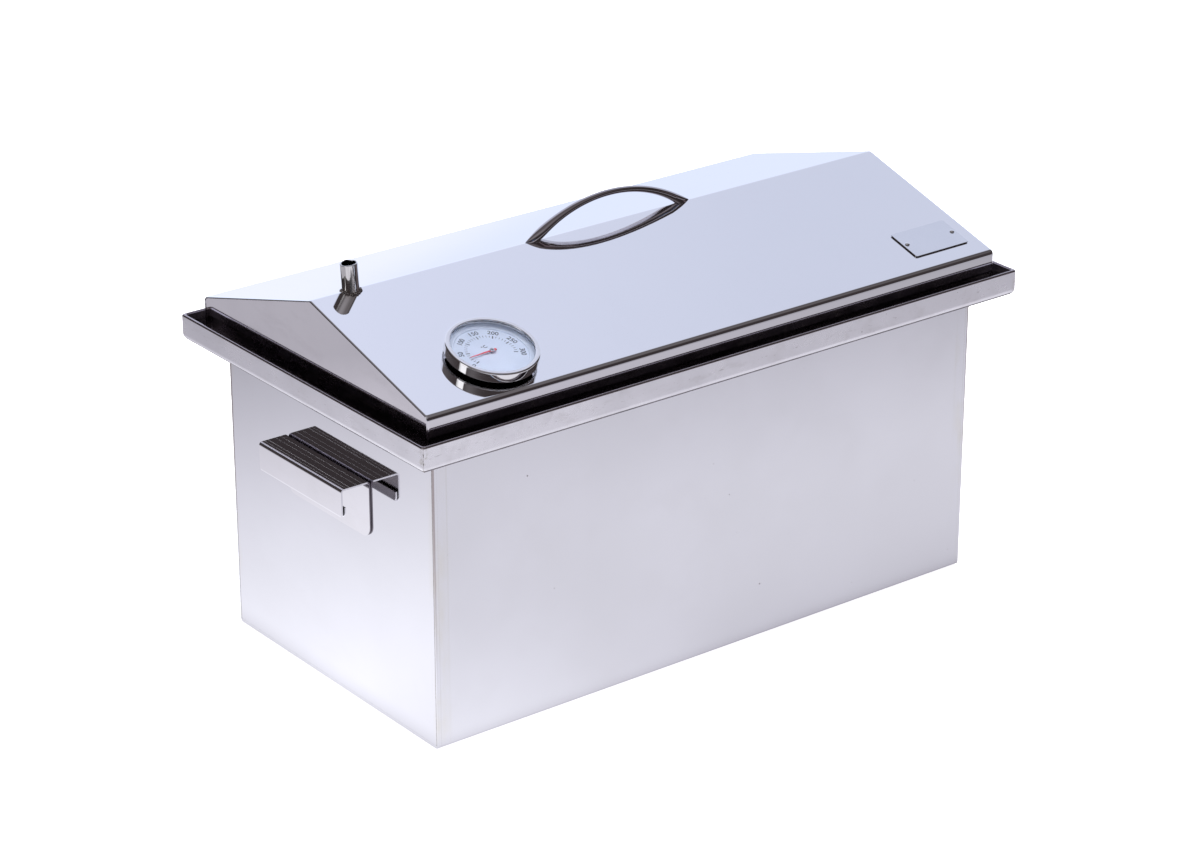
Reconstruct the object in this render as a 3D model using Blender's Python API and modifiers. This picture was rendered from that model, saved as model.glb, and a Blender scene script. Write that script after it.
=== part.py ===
"""Stainless hot smoker: a bent sheet box with a water channel round its rim, a
lift-off gabled lid with a dial thermometer, two grates and a drip tray.

Metres, +Z up. The origin is the centre of the box's underside. X runs along the
long side, and the front, with the thermometer and the badge, faces -Y.
"""
import math

import bpy
import bmesh
from mathutils import Matrix, Vector

# Driving dimensions
GAP = 0.0003                # clearance between pieces that touch

BOX_LENGTH = 0.500
BOX_DEPTH = 0.260
BOX_HEIGHT = 0.246          # floor to the top edge of the walls
WALL = 0.0015
BOX_BEND = 0.003            # outer radius of the bends along the floor

CHANNEL_REACH = 0.0248      # wall to the outer face of the water channel
CHANNEL_DEPTH = 0.0205      # rim to the underside of the channel
RIM_RISE = 0.0035           # rim above the top edge of the walls
CHANNEL_SHEET = 0.0010
CHANNEL_BEND = 0.0055       # outer radius of the bend under the rim
RIM_FOLD = 0.0009           # middle radius of the hem rolled along the rim
RIM_HEM = 0.006             # how far the hem hangs down inside

LID_MARGIN = 0.0128         # outer face of the rim to the face of the lid
LID_SHEET = 0.0010
EAVE_RISE = 0.0145          # eave above the rim
RIDGE_RISE = 0.041          # ridge above the eave
EAVE_BEND = 0.0025          # outer radius of the eave and ridge bends

SIDE_HANDLE_WIDTH = 0.106
SIDE_HANDLE_REACH = 0.025
SIDE_HANDLE_TOP = 0.1818
SIDE_HANDLE_FLANGE = 0.0446  # height of the leg on the wall
SIDE_HANDLE_LIP = 0.0225     # height of the grip's front lip
SIDE_HANDLE_HEM = 0.0075     # how far the lip's hem turns back up inside
SIDE_HANDLE_FOLD = 0.00132   # middle radius of that hem
SIDE_HANDLE_SHEET = 0.0012
SIDE_HANDLE_BEND = 0.0025
SIDE_HANDLE_CORNER = 0.009

LEDGE_HEIGHTS = {"lower": 0.088, "upper": 0.166}
LEDGE_WIDTH = 0.012
LEDGE_LEG = 0.015
LEDGE_LENGTH = 0.210

GRATE_ROD = 0.005           # diameter of the frame rod
GRATE_WIRE = 0.003          # diameter of the cross wires
GRATE_CLEARANCE = 0.004     # frame to the walls
GRATE_CORNER = 0.014
GRATE_PITCH = 0.024

TRAY_CLEARANCE = 0.020      # tray to the walls
TRAY_SHEET = 0.0010
TRAY_WALL = 0.014
TRAY_LIFT = 0.030           # legs' height under the tray
TRAY_LEG_WIDTH = 0.018
TRAY_LEG_LENGTH = 0.150
TRAY_LEG_INSET = 0.070      # tray's end to the middle of a leg

BAR_CENTRE = 0.0028         # lid handle, along the ridge
BAR_HALF_SPAN = 0.0695      # to where the bar's middle line meets the ridge
BAR_RISE = 0.0225           # of the bar's middle line over the ridge
BAR_WIDTH = 0.0056
BAR_HEIGHT = 0.0044
BAR_FLARE = 1.65            # size of the bar at its feet over its size midway
BAR_TAPER = 2.5             # power of the growth towards the feet
BAR_STATIONS = 28
BAR_SIDES = 16

TUBE_END_MARGIN = 0.0351    # lid's end to the tube's axis
TUBE_DIAMETER = 0.0126
TUBE_WALL = 0.0011
TUBE_RISE = 0.0208          # over the ridge
TUBE_DROP = 0.008           # under the ridge

BADGE_SIZE = (0.053, 0.031)
BADGE_SHEET = 0.0008
BADGE_CORNER = 0.0015
BADGE_END_MARGIN = 0.0117
BADGE_EAVE_MARGIN = 0.0165
RIVET_INSET = 0.0038
RIVET_HEAD = 0.0018         # radius
RIVET_SHANK = 0.0011        # radius
RIVET_DOME = 0.0009         # height of the head
RIVET_SHOULDER = (0.7, 0.75)  # shares of the head's radius and height

DIAL_END_MARGIN = 0.0813    # lid's end to the thermometer's axis
DIAL_EAVE_MARGIN = 0.0400   # eave to the thermometer's axis
BEZEL_RADIUS = 0.0338
BEZEL_TOP = 0.0108          # over the roof
BEZEL_BOTTOM = 0.0033
BEZEL_SHEET = 0.0009
BEZEL_LIP = 0.0036          # width of the rolled front edge
BEZEL_ROLL = 0.00054        # height of the lip's rounded shoulders
BEZEL_CROWN = (0.7, 0.25)   # where the lip is flat, in shares of its width
CASE_SHEET = 0.0008
DIAL_LEVEL = 0.0050         # face of the dial over the roof
DIAL_SHEET = 0.0006
DIAL_HOLE = 0.0007          # radius, at the dial's middle
LENS_SHEET = 0.0014
POINTER_LEVEL = 0.0064
POINTER_SHEET = 0.0004
POINTER_LENGTH = 0.0190
POINTER_HUB = 0.0021        # radius
POINTER_REST = math.radians(183.0)   # from the dial's +X, anticlockwise
POINTER_NOTCH = math.radians(24.0)   # half the angle where the hub meets the needle
POINTER_CAP = 0.00189       # radius at the foot of the cap
POINTER_CAP_TOP = 0.00147   # radius at its top
STEM_RADIUS = 0.0030
THREAD_RADIUS = 0.0038
THREAD_LENGTH = 0.012
STEM_LENGTH = 0.058
STEM_TIP = 0.7              # share of the radius left at the rounded tip
NUT_RADIUS = 0.0075
NUT_HEIGHT = 0.0050
WASHER_RADIUS = 0.0085
WASHER_SHEET = 0.0012

# Worked out from the driving dimensions
HALF_LENGTH = BOX_LENGTH / 2
HALF_DEPTH = BOX_DEPTH / 2
RIM_LEVEL = BOX_HEIGHT + RIM_RISE
CHANNEL_LEVEL = RIM_LEVEL - CHANNEL_DEPTH
LID_HALF_LENGTH = HALF_LENGTH + CHANNEL_REACH - LID_MARGIN
LID_HALF_DEPTH = HALF_DEPTH + CHANNEL_REACH - LID_MARGIN
SKIRT_LEVEL = CHANNEL_LEVEL + CHANNEL_SHEET + GAP
EAVE_LEVEL = RIM_LEVEL + EAVE_RISE
RIDGE_LEVEL = EAVE_LEVEL + RIDGE_RISE
PITCH = math.atan2(RIDGE_RISE, LID_HALF_DEPTH)
SLOPE_LENGTH = LID_HALF_DEPTH / math.cos(PITCH)
TUBE_X = TUBE_END_MARGIN - LID_HALF_LENGTH
DIAL_X = DIAL_END_MARGIN - LID_HALF_LENGTH
DIAL_DOWN = SLOPE_LENGTH - DIAL_EAVE_MARGIN
BADGE_X = LID_HALF_LENGTH - BADGE_END_MARGIN - BADGE_SIZE[0] / 2
BADGE_DOWN = SLOPE_LENGTH - BADGE_EAVE_MARGIN - BADGE_SIZE[1] / 2

# Stands a plate drawn in X and Y across the box: its X runs along Y, its Y up
UPRIGHT = Matrix(((0, 0, 1), (1, 0, 0), (0, 1, 0))).to_4x4()

MERGE = 0.00001             # points nearer than this are one point


def start_scene():
    for thing in list(bpy.data.objects):
        bpy.data.objects.remove(thing, do_unlink=True)
    collections = []
    for name in ("hot_smoker", "cutters"):
        collection = bpy.data.collections.new(name)
        bpy.context.scene.collection.children.link(collection)
        collections.append(collection)
    return collections


def make_material(name, colour, roughness, metallic):
    material = bpy.data.materials.new(name)
    material.use_nodes = True
    shader = material.node_tree.nodes["Principled BSDF"]
    shader.inputs["Base Color"].default_value = (*colour, 1.0)
    shader.inputs["Roughness"].default_value = roughness
    shader.inputs["Metallic"].default_value = metallic
    return material


def add_object(name, data, material=None, matrix=None):
    thing = bpy.data.objects.new(name, data)
    SMOKER.objects.link(thing)
    if matrix is not None:
        thing.matrix_world = matrix
    if material is not None:
        thing.data.materials.append(material)
    return thing


def mesh_from(bm, name):
    mesh = bpy.data.meshes.new(name)
    bm.to_mesh(mesh)
    bm.free()
    return mesh


def shade_round(mesh):
    mesh.shade_smooth()
    mesh.set_sharp_from_angle(angle=math.radians(35.0))


def rounded_path(corners, radii, steps=4):
    """Polyline through the corners with an arc in place of each inner one."""
    path = [Vector(corners[0])]
    for before, corner, after, radius in zip(corners, corners[1:], corners[2:], radii):
        corner = Vector(corner)
        back = (Vector(before) - corner).normalized()
        ahead = (Vector(after) - corner).normalized()
        half = back.angle(ahead) / 2
        centre = corner + (back + ahead).normalized() * radius / math.sin(half)
        arm = corner + back * radius / math.tan(half) - centre
        sweep = math.copysign(math.pi - 2 * half, back.cross(ahead))
        for step in range(steps + 1):
            turn = -sweep * step / steps
            cos, sin = math.cos(turn), math.sin(turn)
            point = centre + Vector((arm.x * cos - arm.y * sin, arm.x * sin + arm.y * cos))
            if (point - path[-1]).length > MERGE:
                path.append(point)
    path.append(Vector(corners[-1]))
    return path


def bent_sheet(name, path, half_width, thickness, material, matrix, corner=0.0):
    """Strip bent along the path (Y, Z), as wide as twice half_width in X. The
    corners at the path's first point are rounded when corner is given."""
    bm = bmesh.new()
    row = [bm.verts.new((-half_width, point.x, point.y)) for point in path]
    edges = [bm.edges.new(pair) for pair in zip(row, row[1:])]
    swept = bmesh.ops.extrude_edge_only(bm, edges=edges)["geom"]
    moved = [item for item in swept if isinstance(item, bmesh.types.BMVert)]
    bmesh.ops.translate(bm, verts=moved, vec=(2 * half_width, 0, 0))
    if corner:
        first = path[0]
        ends = [v for v in bm.verts if (v.co.yz - first).length < MERGE]
        bmesh.ops.bevel(bm, geom=ends, offset=corner, segments=5, profile=0.5,
                        affect="VERTICES")
    thing = add_object(name, mesh_from(bm, name), material, matrix)
    solid = thing.modifiers.new("Thickness", "SOLIDIFY")
    solid.thickness = thickness
    solid.offset = 0.0
    solid.use_even_offset = True
    return thing


def flat_plate(name, outline, thickness, material, matrix):
    """Plate with the outline (X, Y), its thickness centred on the XY plane."""
    curve = bpy.data.curves.new(name, "CURVE")
    curve.dimensions = "2D"
    curve.fill_mode = "BOTH"
    curve.extrude = thickness / 2
    spline = curve.splines.new("POLY")
    spline.points.add(len(outline) - 1)
    for point, place in zip(spline.points, outline):
        point.co = (place[0], place[1], 0.0, 1.0)
    spline.use_cyclic_u = True
    return as_mesh(add_object(name, curve, material, matrix))


def as_mesh(thing):
    """Turns a curve object into a mesh object with its caps welded on."""
    bpy.context.view_layer.update()
    evaluated = thing.evaluated_get(bpy.context.evaluated_depsgraph_get())
    mesh = bpy.data.meshes.new_from_object(evaluated)
    bm = bmesh.new()
    bm.from_mesh(mesh)
    bmesh.ops.remove_doubles(bm, verts=bm.verts, dist=MERGE)
    bm.to_mesh(mesh)
    bm.free()
    shade_round(mesh)
    name, matrix = thing.name, thing.matrix_world.copy()
    material = thing.data.materials[0]
    bpy.data.objects.remove(thing, do_unlink=True)
    mesh.materials.clear()
    return add_object(name, mesh, material, matrix)


def turned(name, profile, material, matrix, steps=48, hollow=False):
    """Profile (radius, Z), listed down the outer side, turned about Z."""
    bm = bmesh.new()
    row = [bm.verts.new((radius, 0.0, level)) for radius, level in profile]
    pairs = list(zip(row, row[1:]))
    if hollow:
        pairs.append((row[-1], row[0]))
    for pair in pairs:
        bm.edges.new(pair)
    thing = add_object(name, mesh_from(bm, name), material, matrix)
    screw = thing.modifiers.new("Turn", "SCREW")
    screw.steps = steps
    screw.render_steps = steps
    screw.use_merge_vertices = True
    screw.merge_threshold = MERGE
    screw.use_smooth_shade = True
    return thing


def move_to_cutters(cutter):
    """Takes an object out of the smoker and marks it as a cutter."""
    SMOKER.objects.unlink(cutter)
    CUTTERS.objects.link(cutter)
    cutter.hide_render = True
    cutter.display_type = "WIRE"


def cut(target, cutter):
    boolean = target.modifiers.new(f"Cut {cutter.name}", "BOOLEAN")
    boolean.operation = "DIFFERENCE"
    boolean.solver = "EXACT"
    boolean.object = cutter


def drill(target, name, radius, depth, matrix):
    """Round hole through the target about the matrix's Z axis."""
    bm = bmesh.new()
    bmesh.ops.create_cone(bm, cap_ends=True, segments=24, radius1=radius,
                          radius2=radius, depth=depth)
    cutter = add_object(name, mesh_from(bm, name), matrix=matrix)
    move_to_cutters(cutter)
    cut(target, cutter)


def slope_frame(x, down):
    """Place on the roof's front slope, down from the ridge, with Z square to
    the slope, X along the lid and Y uphill."""
    spot = Vector((x, -down * math.cos(PITCH), RIDGE_LEVEL - down * math.sin(PITCH)))
    return Matrix.Translation(spot) @ Matrix.Rotation(PITCH, 4, "X")


def wall_frame(side, x=0.0, y=0.0):
    """Place at floor level on a wall, with Y pointing out of the wall."""
    turn = {"back": 0.0, "left": 90.0, "front": 180.0, "right": -90.0}[side]
    return Matrix.Translation((x, y, 0.0)) @ Matrix.Rotation(math.radians(turn), 4, "Z")


# Middle of each wall (X, Y) and half its width
WALLS = {"front": (0.0, -HALF_DEPTH, HALF_LENGTH), "back": (0.0, HALF_DEPTH, HALF_LENGTH),
         "left": (-HALF_LENGTH, 0.0, HALF_DEPTH), "right": (HALF_LENGTH, 0.0, HALF_DEPTH)}


def build_box():
    """Front, floor and back in one sheet, with an end panel let into each end."""
    y = HALF_DEPTH - WALL / 2
    corners = [(-y, BOX_HEIGHT), (-y, WALL / 2), (y, WALL / 2), (y, BOX_HEIGHT)]
    path = rounded_path(corners, [BOX_BEND - WALL / 2] * 2, steps=5)
    bent_sheet("body_shell", path, HALF_LENGTH, WALL, STEEL, Matrix.Identity(4))
    inner = HALF_DEPTH - WALL - GAP
    floor = WALL + GAP
    corners = [(-inner, BOX_HEIGHT), (-inner, floor), (inner, floor), (inner, BOX_HEIGHT)]
    outline = rounded_path(corners, [BOX_BEND - WALL - GAP] * 2, steps=5)
    for side, sign in (("left", -1), ("right", 1)):
        place = Matrix.Translation((sign * (HALF_LENGTH - WALL / 2), 0, 0))
        flat_plate(f"{side}_end_panel", outline, WALL, STEEL, place @ UPRIGHT)


def build_channel():
    """Water channel: four mitred strips with a leg on the wall and a hemmed rim."""
    inner = GAP + CHANNEL_SHEET / 2
    outer = CHANNEL_REACH - CHANNEL_SHEET / 2
    floor = CHANNEL_LEVEL + CHANNEL_SHEET / 2
    rim = RIM_LEVEL - CHANNEL_SHEET / 2
    hem = outer - 2 * RIM_FOLD
    corners = [(inner, BOX_HEIGHT), (inner, floor), (outer, floor), (outer, rim),
               (hem, rim), (hem, rim - RIM_HEM)]
    bend = CHANNEL_BEND - CHANNEL_SHEET / 2
    path = rounded_path(corners, [2 * CHANNEL_SHEET, bend, RIM_FOLD, RIM_FOLD])
    spare = 1.5 * CHANNEL_REACH     # cut away again by the mitres
    block = 5 * CHANNEL_REACH
    offset = (block / 2 - GAP / 2) / math.sqrt(2)
    for side, (x, y, half) in WALLS.items():
        strip = bent_sheet(f"channel_{side}", path, half + spare,
                           CHANNEL_SHEET, STEEL, wall_frame(side, x, y))
        for end in (-1, 1):
            bm = bmesh.new()
            bmesh.ops.create_cube(bm, size=block)
            mitre = add_object(f"mitre_{side}_{end}", mesh_from(bm, "mitre"))
            mitre.parent = strip
            mitre.location = (end * (half + offset), -offset, CHANNEL_LEVEL)
            mitre.rotation_euler.z = math.radians(45)
            move_to_cutters(mitre)
            cut(strip, mitre)


def build_side_handles():
    """Each a bent sheet: a leg on the wall, a flat top and a hemmed front lip."""
    inner = GAP + SIDE_HANDLE_SHEET / 2
    outer = SIDE_HANDLE_REACH - SIDE_HANDLE_SHEET / 2
    top = SIDE_HANDLE_TOP - SIDE_HANDLE_SHEET / 2
    lip = SIDE_HANDLE_TOP - SIDE_HANDLE_LIP + SIDE_HANDLE_SHEET / 2
    hem = outer - 2 * SIDE_HANDLE_FOLD
    corners = [(inner, SIDE_HANDLE_TOP - SIDE_HANDLE_FLANGE), (inner, top), (outer, top),
               (outer, lip), (hem, lip), (hem, lip + SIDE_HANDLE_HEM)]
    bend = SIDE_HANDLE_BEND - SIDE_HANDLE_SHEET / 2
    path = rounded_path(corners, [bend, bend, SIDE_HANDLE_FOLD, SIDE_HANDLE_FOLD])
    for side in ("left", "right"):
        x, y, _ = WALLS[side]
        bent_sheet(f"{side}_handle", path, SIDE_HANDLE_WIDTH / 2, SIDE_HANDLE_SHEET,
                   STEEL, wall_frame(side, x, y), corner=SIDE_HANDLE_CORNER)


def build_ledges():
    """Angle strips inside the end panels that carry the grates."""
    inside = -WALL - GAP - WALL / 2
    for tier, level in LEDGE_HEIGHTS.items():
        corners = [(inside, level - LEDGE_LEG), (inside, level - WALL / 2),
                   (inside - LEDGE_WIDTH, level - WALL / 2)]
        path = rounded_path(corners, [WALL])
        for side in ("left", "right"):
            x, y, _ = WALLS[side]
            bent_sheet(f"{tier}_ledge_{side}", path, LEDGE_LENGTH / 2, WALL, STEEL,
                       wall_frame(side, x, y))


def wire(name, points, diameter, material, closed=False):
    """Round wire along a polyline, as a mesh."""
    curve = bpy.data.curves.new(name, "CURVE")
    curve.dimensions = "3D"
    curve.bevel_depth = diameter / 2
    curve.bevel_resolution = 2
    curve.use_fill_caps = True
    spline = curve.splines.new("POLY")
    spline.points.add(len(points) - 1)
    for point, place in zip(spline.points, points):
        point.co = (*place, 1.0)
    spline.use_cyclic_u = closed
    return as_mesh(add_object(name, curve, material))


def build_grate(name, level):
    """Rod frame with cross wires welded through its middle line."""
    half_x = HALF_LENGTH - WALL - GRATE_CLEARANCE - GRATE_ROD / 2
    half_y = HALF_DEPTH - WALL - GRATE_CLEARANCE - GRATE_ROD / 2
    z = level + GAP + GRATE_ROD / 2
    loop = [(0, -half_y), (half_x, -half_y), (half_x, half_y), (-half_x, half_y),
            (-half_x, -half_y), (0, -half_y)]
    ring = rounded_path(loop, [GRATE_CORNER] * 4)[:-1]
    frame = wire(name, [(p.x, p.y, z) for p in ring], GRATE_ROD, WIRE, closed=True)
    count = int((2 * half_x - 2 * GRATE_CORNER) / GRATE_PITCH)
    for index in range(count + 1):
        x = (index - count / 2) * GRATE_PITCH
        rod = wire(f"{name}_rod_{index}", [(x, -half_y, z), (x, half_y, z)], GRATE_WIRE, WIRE)
        move_to_cutters(rod)
        union = frame.modifiers.new(f"Rod {index}", "BOOLEAN")
        union.operation = "UNION"
        union.solver = "EXACT"
        union.object = rod


def build_tray():
    """Shallow pan on two bent legs, between the embers and the grates."""
    half_x = HALF_LENGTH - WALL - TRAY_CLEARANCE
    half_y = HALF_DEPTH - WALL - TRAY_CLEARANCE
    floor = WALL + GAP + TRAY_LIFT + GAP + TRAY_SHEET / 2
    bm = bmesh.new()
    bmesh.ops.create_grid(bm, x_segments=1, y_segments=1, size=0.5)
    bmesh.ops.scale(bm, vec=(2 * half_x, 2 * half_y, 1), verts=bm.verts)
    rim = bmesh.ops.extrude_edge_only(bm, edges=list(bm.edges))["geom"]
    raised = [item for item in rim if isinstance(item, bmesh.types.BMVert)]
    bmesh.ops.translate(bm, verts=raised, vec=(0, 0, TRAY_WALL))
    bmesh.ops.recalc_face_normals(bm, faces=bm.faces)
    tray = add_object("drip_tray", mesh_from(bm, "drip_tray"), STEEL,
                      Matrix.Translation((0, 0, floor)))
    solid = tray.modifiers.new("Thickness", "SOLIDIFY")
    solid.thickness = TRAY_SHEET
    solid.offset = 0.0
    solid.use_even_offset = True
    foot = WALL + GAP + TRAY_SHEET / 2
    head = WALL + GAP + TRAY_LIFT - TRAY_SHEET / 2
    half_top = TRAY_LEG_LENGTH / 2
    turn_in = half_top - TRAY_LEG_WIDTH / 2
    corners = [(-turn_in, foot), (-half_top, foot), (-half_top, head), (half_top, head),
               (half_top, foot), (turn_in, foot)]
    path = rounded_path(corners, [2 * TRAY_SHEET] * 4)
    for side, sign in (("left", -1), ("right", 1)):
        place = Matrix.Translation((sign * (half_x - TRAY_LEG_INSET), 0, 0))
        bent_sheet(f"drip_tray_leg_{side}", path, TRAY_LEG_WIDTH / 2, TRAY_SHEET, STEEL, place)


def build_roof():
    """Skirt, two slopes and skirt in one sheet, with house-shaped end plates."""
    fall = math.tan(PITCH)
    y = LID_HALF_DEPTH - LID_SHEET / 2
    ridge = RIDGE_LEVEL - LID_SHEET / 2 / math.cos(PITCH)
    corners = [(-y, SKIRT_LEVEL), (-y, ridge - y * fall), (0, ridge), (y, ridge - y * fall),
               (y, SKIRT_LEVEL)]
    path = rounded_path(corners, [EAVE_BEND - LID_SHEET / 2] * 3, steps=5)
    roof = bent_sheet("lid_roof", path, LID_HALF_LENGTH, LID_SHEET, POLISHED,
                      Matrix.Identity(4))
    through = 20 * LID_SHEET
    tube_axis = Matrix.Translation((TUBE_X, 0, RIDGE_LEVEL))
    drill(roof, "tube_hole", TUBE_DIAMETER / 2 + GAP, through, tube_axis)
    drill(roof, "stem_hole", THREAD_RADIUS + GAP, through, slope_frame(DIAL_X, DIAL_DOWN))
    for side, place in rivet_frames():
        drill(roof, f"rivet_hole_{side}", RIVET_SHANK + GAP, through, place)

    inset = LID_SHEET + GAP
    y = LID_HALF_DEPTH - inset
    ridge = RIDGE_LEVEL - inset / math.cos(PITCH)
    corners = [(-y, SKIRT_LEVEL), (-y, ridge - y * fall), (0, ridge), (y, ridge - y * fall),
               (y, SKIRT_LEVEL)]
    outline = rounded_path(corners, [EAVE_BEND - inset] * 3, steps=5)
    for side, sign in (("left", -1), ("right", 1)):
        place = Matrix.Translation((sign * (LID_HALF_LENGTH - LID_SHEET), 0, 0))
        flat_plate(f"lid_gable_{side}", outline, LID_SHEET, POLISHED, place @ UPRIGHT)


def build_lid_handle():
    """Bow of oval bar along the ridge, thicker at its feet, which are cut to
    sit on both slopes."""
    radius = (BAR_HALF_SPAN ** 2 + BAR_RISE ** 2) / (2 * BAR_RISE)
    centre = RIDGE_LEVEL + BAR_RISE - radius
    reach = math.asin(BAR_HALF_SPAN / radius) + BAR_HEIGHT * BAR_FLARE / radius * 2
    bm = bmesh.new()
    rings = []
    for station in range(BAR_STATIONS + 1):
        share = 2 * station / BAR_STATIONS - 1
        angle = share * reach
        size = 1 + (BAR_FLARE - 1) * abs(share) ** BAR_TAPER
        ring = []
        for side in range(BAR_SIDES):
            turn = 2 * math.pi * side / BAR_SIDES
            out = radius + math.sin(turn) * BAR_HEIGHT / 2 * size
            across = math.cos(turn) * BAR_WIDTH / 2 * size
            ring.append(bm.verts.new((BAR_CENTRE + out * math.sin(angle), across,
                                      centre + out * math.cos(angle))))
        rings.append(ring)
    for ring, after in zip(rings, rings[1:]):
        for side in range(BAR_SIDES):
            other = (side + 1) % BAR_SIDES
            bm.faces.new((ring[side], ring[other], after[other], after[side]))
    bm.faces.new(rings[0])
    bm.faces.new(reversed(rings[-1]))
    bmesh.ops.recalc_face_normals(bm, faces=bm.faces)
    mesh = mesh_from(bm, "lid_handle")
    shade_round(mesh)
    bar = add_object("lid_handle", mesh, POLISHED)
    half = 4 * BAR_WIDTH
    peak = RIDGE_LEVEL + GAP / math.cos(PITCH)
    low = peak - 2 * BAR_RISE
    eave = peak - half * math.tan(PITCH)
    outline = [(-half, low), (half, low), (half, eave), (0, peak), (-half, eave)]
    wedge = flat_plate("roof_wedge", outline, 4 * BAR_HALF_SPAN, POLISHED,
                       Matrix.Translation((BAR_CENTRE, 0, 0)) @ UPRIGHT)
    move_to_cutters(wedge)
    cut(bar, wedge)


def build_smoke_tube():
    outer = TUBE_DIAMETER / 2
    inner = outer - TUBE_WALL
    profile = [(outer, TUBE_RISE), (outer, -TUBE_DROP), (inner, -TUBE_DROP), (inner, TUBE_RISE)]
    turned("smoke_tube", profile, POLISHED, Matrix.Translation((TUBE_X, 0, RIDGE_LEVEL)),
           steps=32, hollow=True)


def rivet_frames():
    reach = BADGE_SIZE[0] / 2 - RIVET_INSET
    return [("left", slope_frame(BADGE_X - reach, BADGE_DOWN)),
            ("right", slope_frame(BADGE_X + reach, BADGE_DOWN))]


def build_badge():
    """Blank name plate held on the front slope by two rivets."""
    half_x, half_y = BADGE_SIZE[0] / 2, BADGE_SIZE[1] / 2
    loop = [(0, -half_y), (half_x, -half_y), (half_x, half_y), (-half_x, half_y),
            (-half_x, -half_y), (0, -half_y)]
    outline = rounded_path(loop, [BADGE_CORNER] * 4)[:-1]
    lift = Matrix.Translation((0, 0, GAP + BADGE_SHEET / 2))
    plate = flat_plate("badge_plate", outline, BADGE_SHEET, BADGE,
                       slope_frame(BADGE_X, BADGE_DOWN) @ lift)
    seat = 2 * GAP + BADGE_SHEET
    under = -LID_SHEET - GAP
    shoulder = RIVET_HEAD * RIVET_SHOULDER[0]
    dome = RIVET_DOME * RIVET_SHOULDER[1]
    for side, place in rivet_frames():
        drill(plate, f"badge_hole_{side}", RIVET_SHANK + GAP, 10 * BADGE_SHEET, place)
        profile = [(0, seat + RIVET_DOME), (shoulder, seat + dome), (RIVET_HEAD, seat),
                   (RIVET_SHANK, seat), (RIVET_SHANK, under), (RIVET_HEAD, under),
                   (shoulder, under - dome), (0, under - RIVET_DOME)]
        turned(f"badge_rivet_{side}", profile, POLISHED, place, steps=20)


def build_thermometer():
    """Dial thermometer: the stem goes through the roof and a nut holds it."""
    place = slope_frame(DIAL_X, DIAL_DOWN)
    bezel_inner = BEZEL_RADIUS - BEZEL_SHEET
    lens_radius = bezel_inner - GAP
    lens_top = BEZEL_TOP - BEZEL_SHEET - GAP
    crown = [BEZEL_RADIUS - BEZEL_LIP * share for share in BEZEL_CROWN]
    turned("thermometer_bezel",
           [(BEZEL_RADIUS - BEZEL_LIP, BEZEL_TOP - BEZEL_ROLL),
            (crown[0], BEZEL_TOP), (crown[1], BEZEL_TOP),
            (BEZEL_RADIUS, BEZEL_TOP - BEZEL_ROLL), (BEZEL_RADIUS, BEZEL_BOTTOM),
            (bezel_inner, BEZEL_BOTTOM), (bezel_inner, BEZEL_TOP - BEZEL_SHEET),
            (BEZEL_RADIUS - BEZEL_LIP, BEZEL_TOP - BEZEL_SHEET)],
           POLISHED, place, steps=72, hollow=True)
    turned("thermometer_lens",
           [(0, lens_top), (lens_radius, lens_top), (lens_radius, lens_top - LENS_SHEET),
            (0, lens_top - LENS_SHEET)], GLASS, place, steps=56)
    case_outer = bezel_inner - GAP
    case_inner = case_outer - CASE_SHEET
    case_rim = lens_top - LENS_SHEET - GAP
    case_floor = BEZEL_BOTTOM + CASE_SHEET
    neck = 2 * THREAD_RADIUS
    turned("thermometer_case",
           [(0, case_floor), (case_inner, case_floor), (case_inner, case_rim),
            (case_outer, case_rim), (case_outer, BEZEL_BOTTOM), (neck, BEZEL_BOTTOM),
            (neck, GAP), (0, GAP)], STEEL, place, steps=56)
    dial_bottom = DIAL_LEVEL - DIAL_SHEET
    dial_radius = case_inner - GAP
    turned("thermometer_dial",
           [(DIAL_HOLE, DIAL_LEVEL), (dial_radius, DIAL_LEVEL), (dial_radius, dial_bottom),
            (DIAL_HOLE, dial_bottom)], DIAL, place, steps=56, hollow=True)

    needle = pointer_outline()
    turn = Matrix.Rotation(POINTER_REST, 4, "Z")
    lift = Matrix.Translation((0, 0, POINTER_LEVEL))
    flat_plate("thermometer_pointer", needle, POINTER_SHEET, RED, place @ turn @ lift)
    cap_seat = POINTER_LEVEL + POINTER_SHEET / 2 + GAP
    cap_top = lens_top - LENS_SHEET - GAP
    turned("pointer_cap",
           [(0, cap_top), (POINTER_CAP_TOP, cap_top), (POINTER_CAP, cap_seat),
            (0, cap_seat)], POLISHED, place @ turn, steps=24)

    thread_bottom = -THREAD_LENGTH
    turned("thermometer_stem",
           [(0, 0), (THREAD_RADIUS, 0), (THREAD_RADIUS, thread_bottom),
            (STEM_RADIUS, thread_bottom), (STEM_RADIUS, STEM_RADIUS - STEM_LENGTH),
            (STEM_RADIUS * STEM_TIP, STEM_RADIUS * (1 - STEM_TIP) - STEM_LENGTH),
            (0, -STEM_LENGTH)],
           POLISHED, place, steps=24)
    seat = -LID_SHEET - GAP
    bore = THREAD_RADIUS + GAP
    turned("thermometer_washer",
           [(WASHER_RADIUS, seat), (WASHER_RADIUS, seat - WASHER_SHEET),
            (bore, seat - WASHER_SHEET), (bore, seat)], STEEL, place, steps=32, hollow=True)
    nut_top = seat - WASHER_SHEET - GAP
    hex_bore = bore / math.cos(math.pi / 6)     # its flats clear the thread
    turned("thermometer_nut",
           [(NUT_RADIUS, nut_top), (NUT_RADIUS, nut_top - NUT_HEIGHT),
            (hex_bore, nut_top - NUT_HEIGHT), (hex_bore, nut_top)],
           STEEL, place, steps=6, hollow=True)


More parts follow.
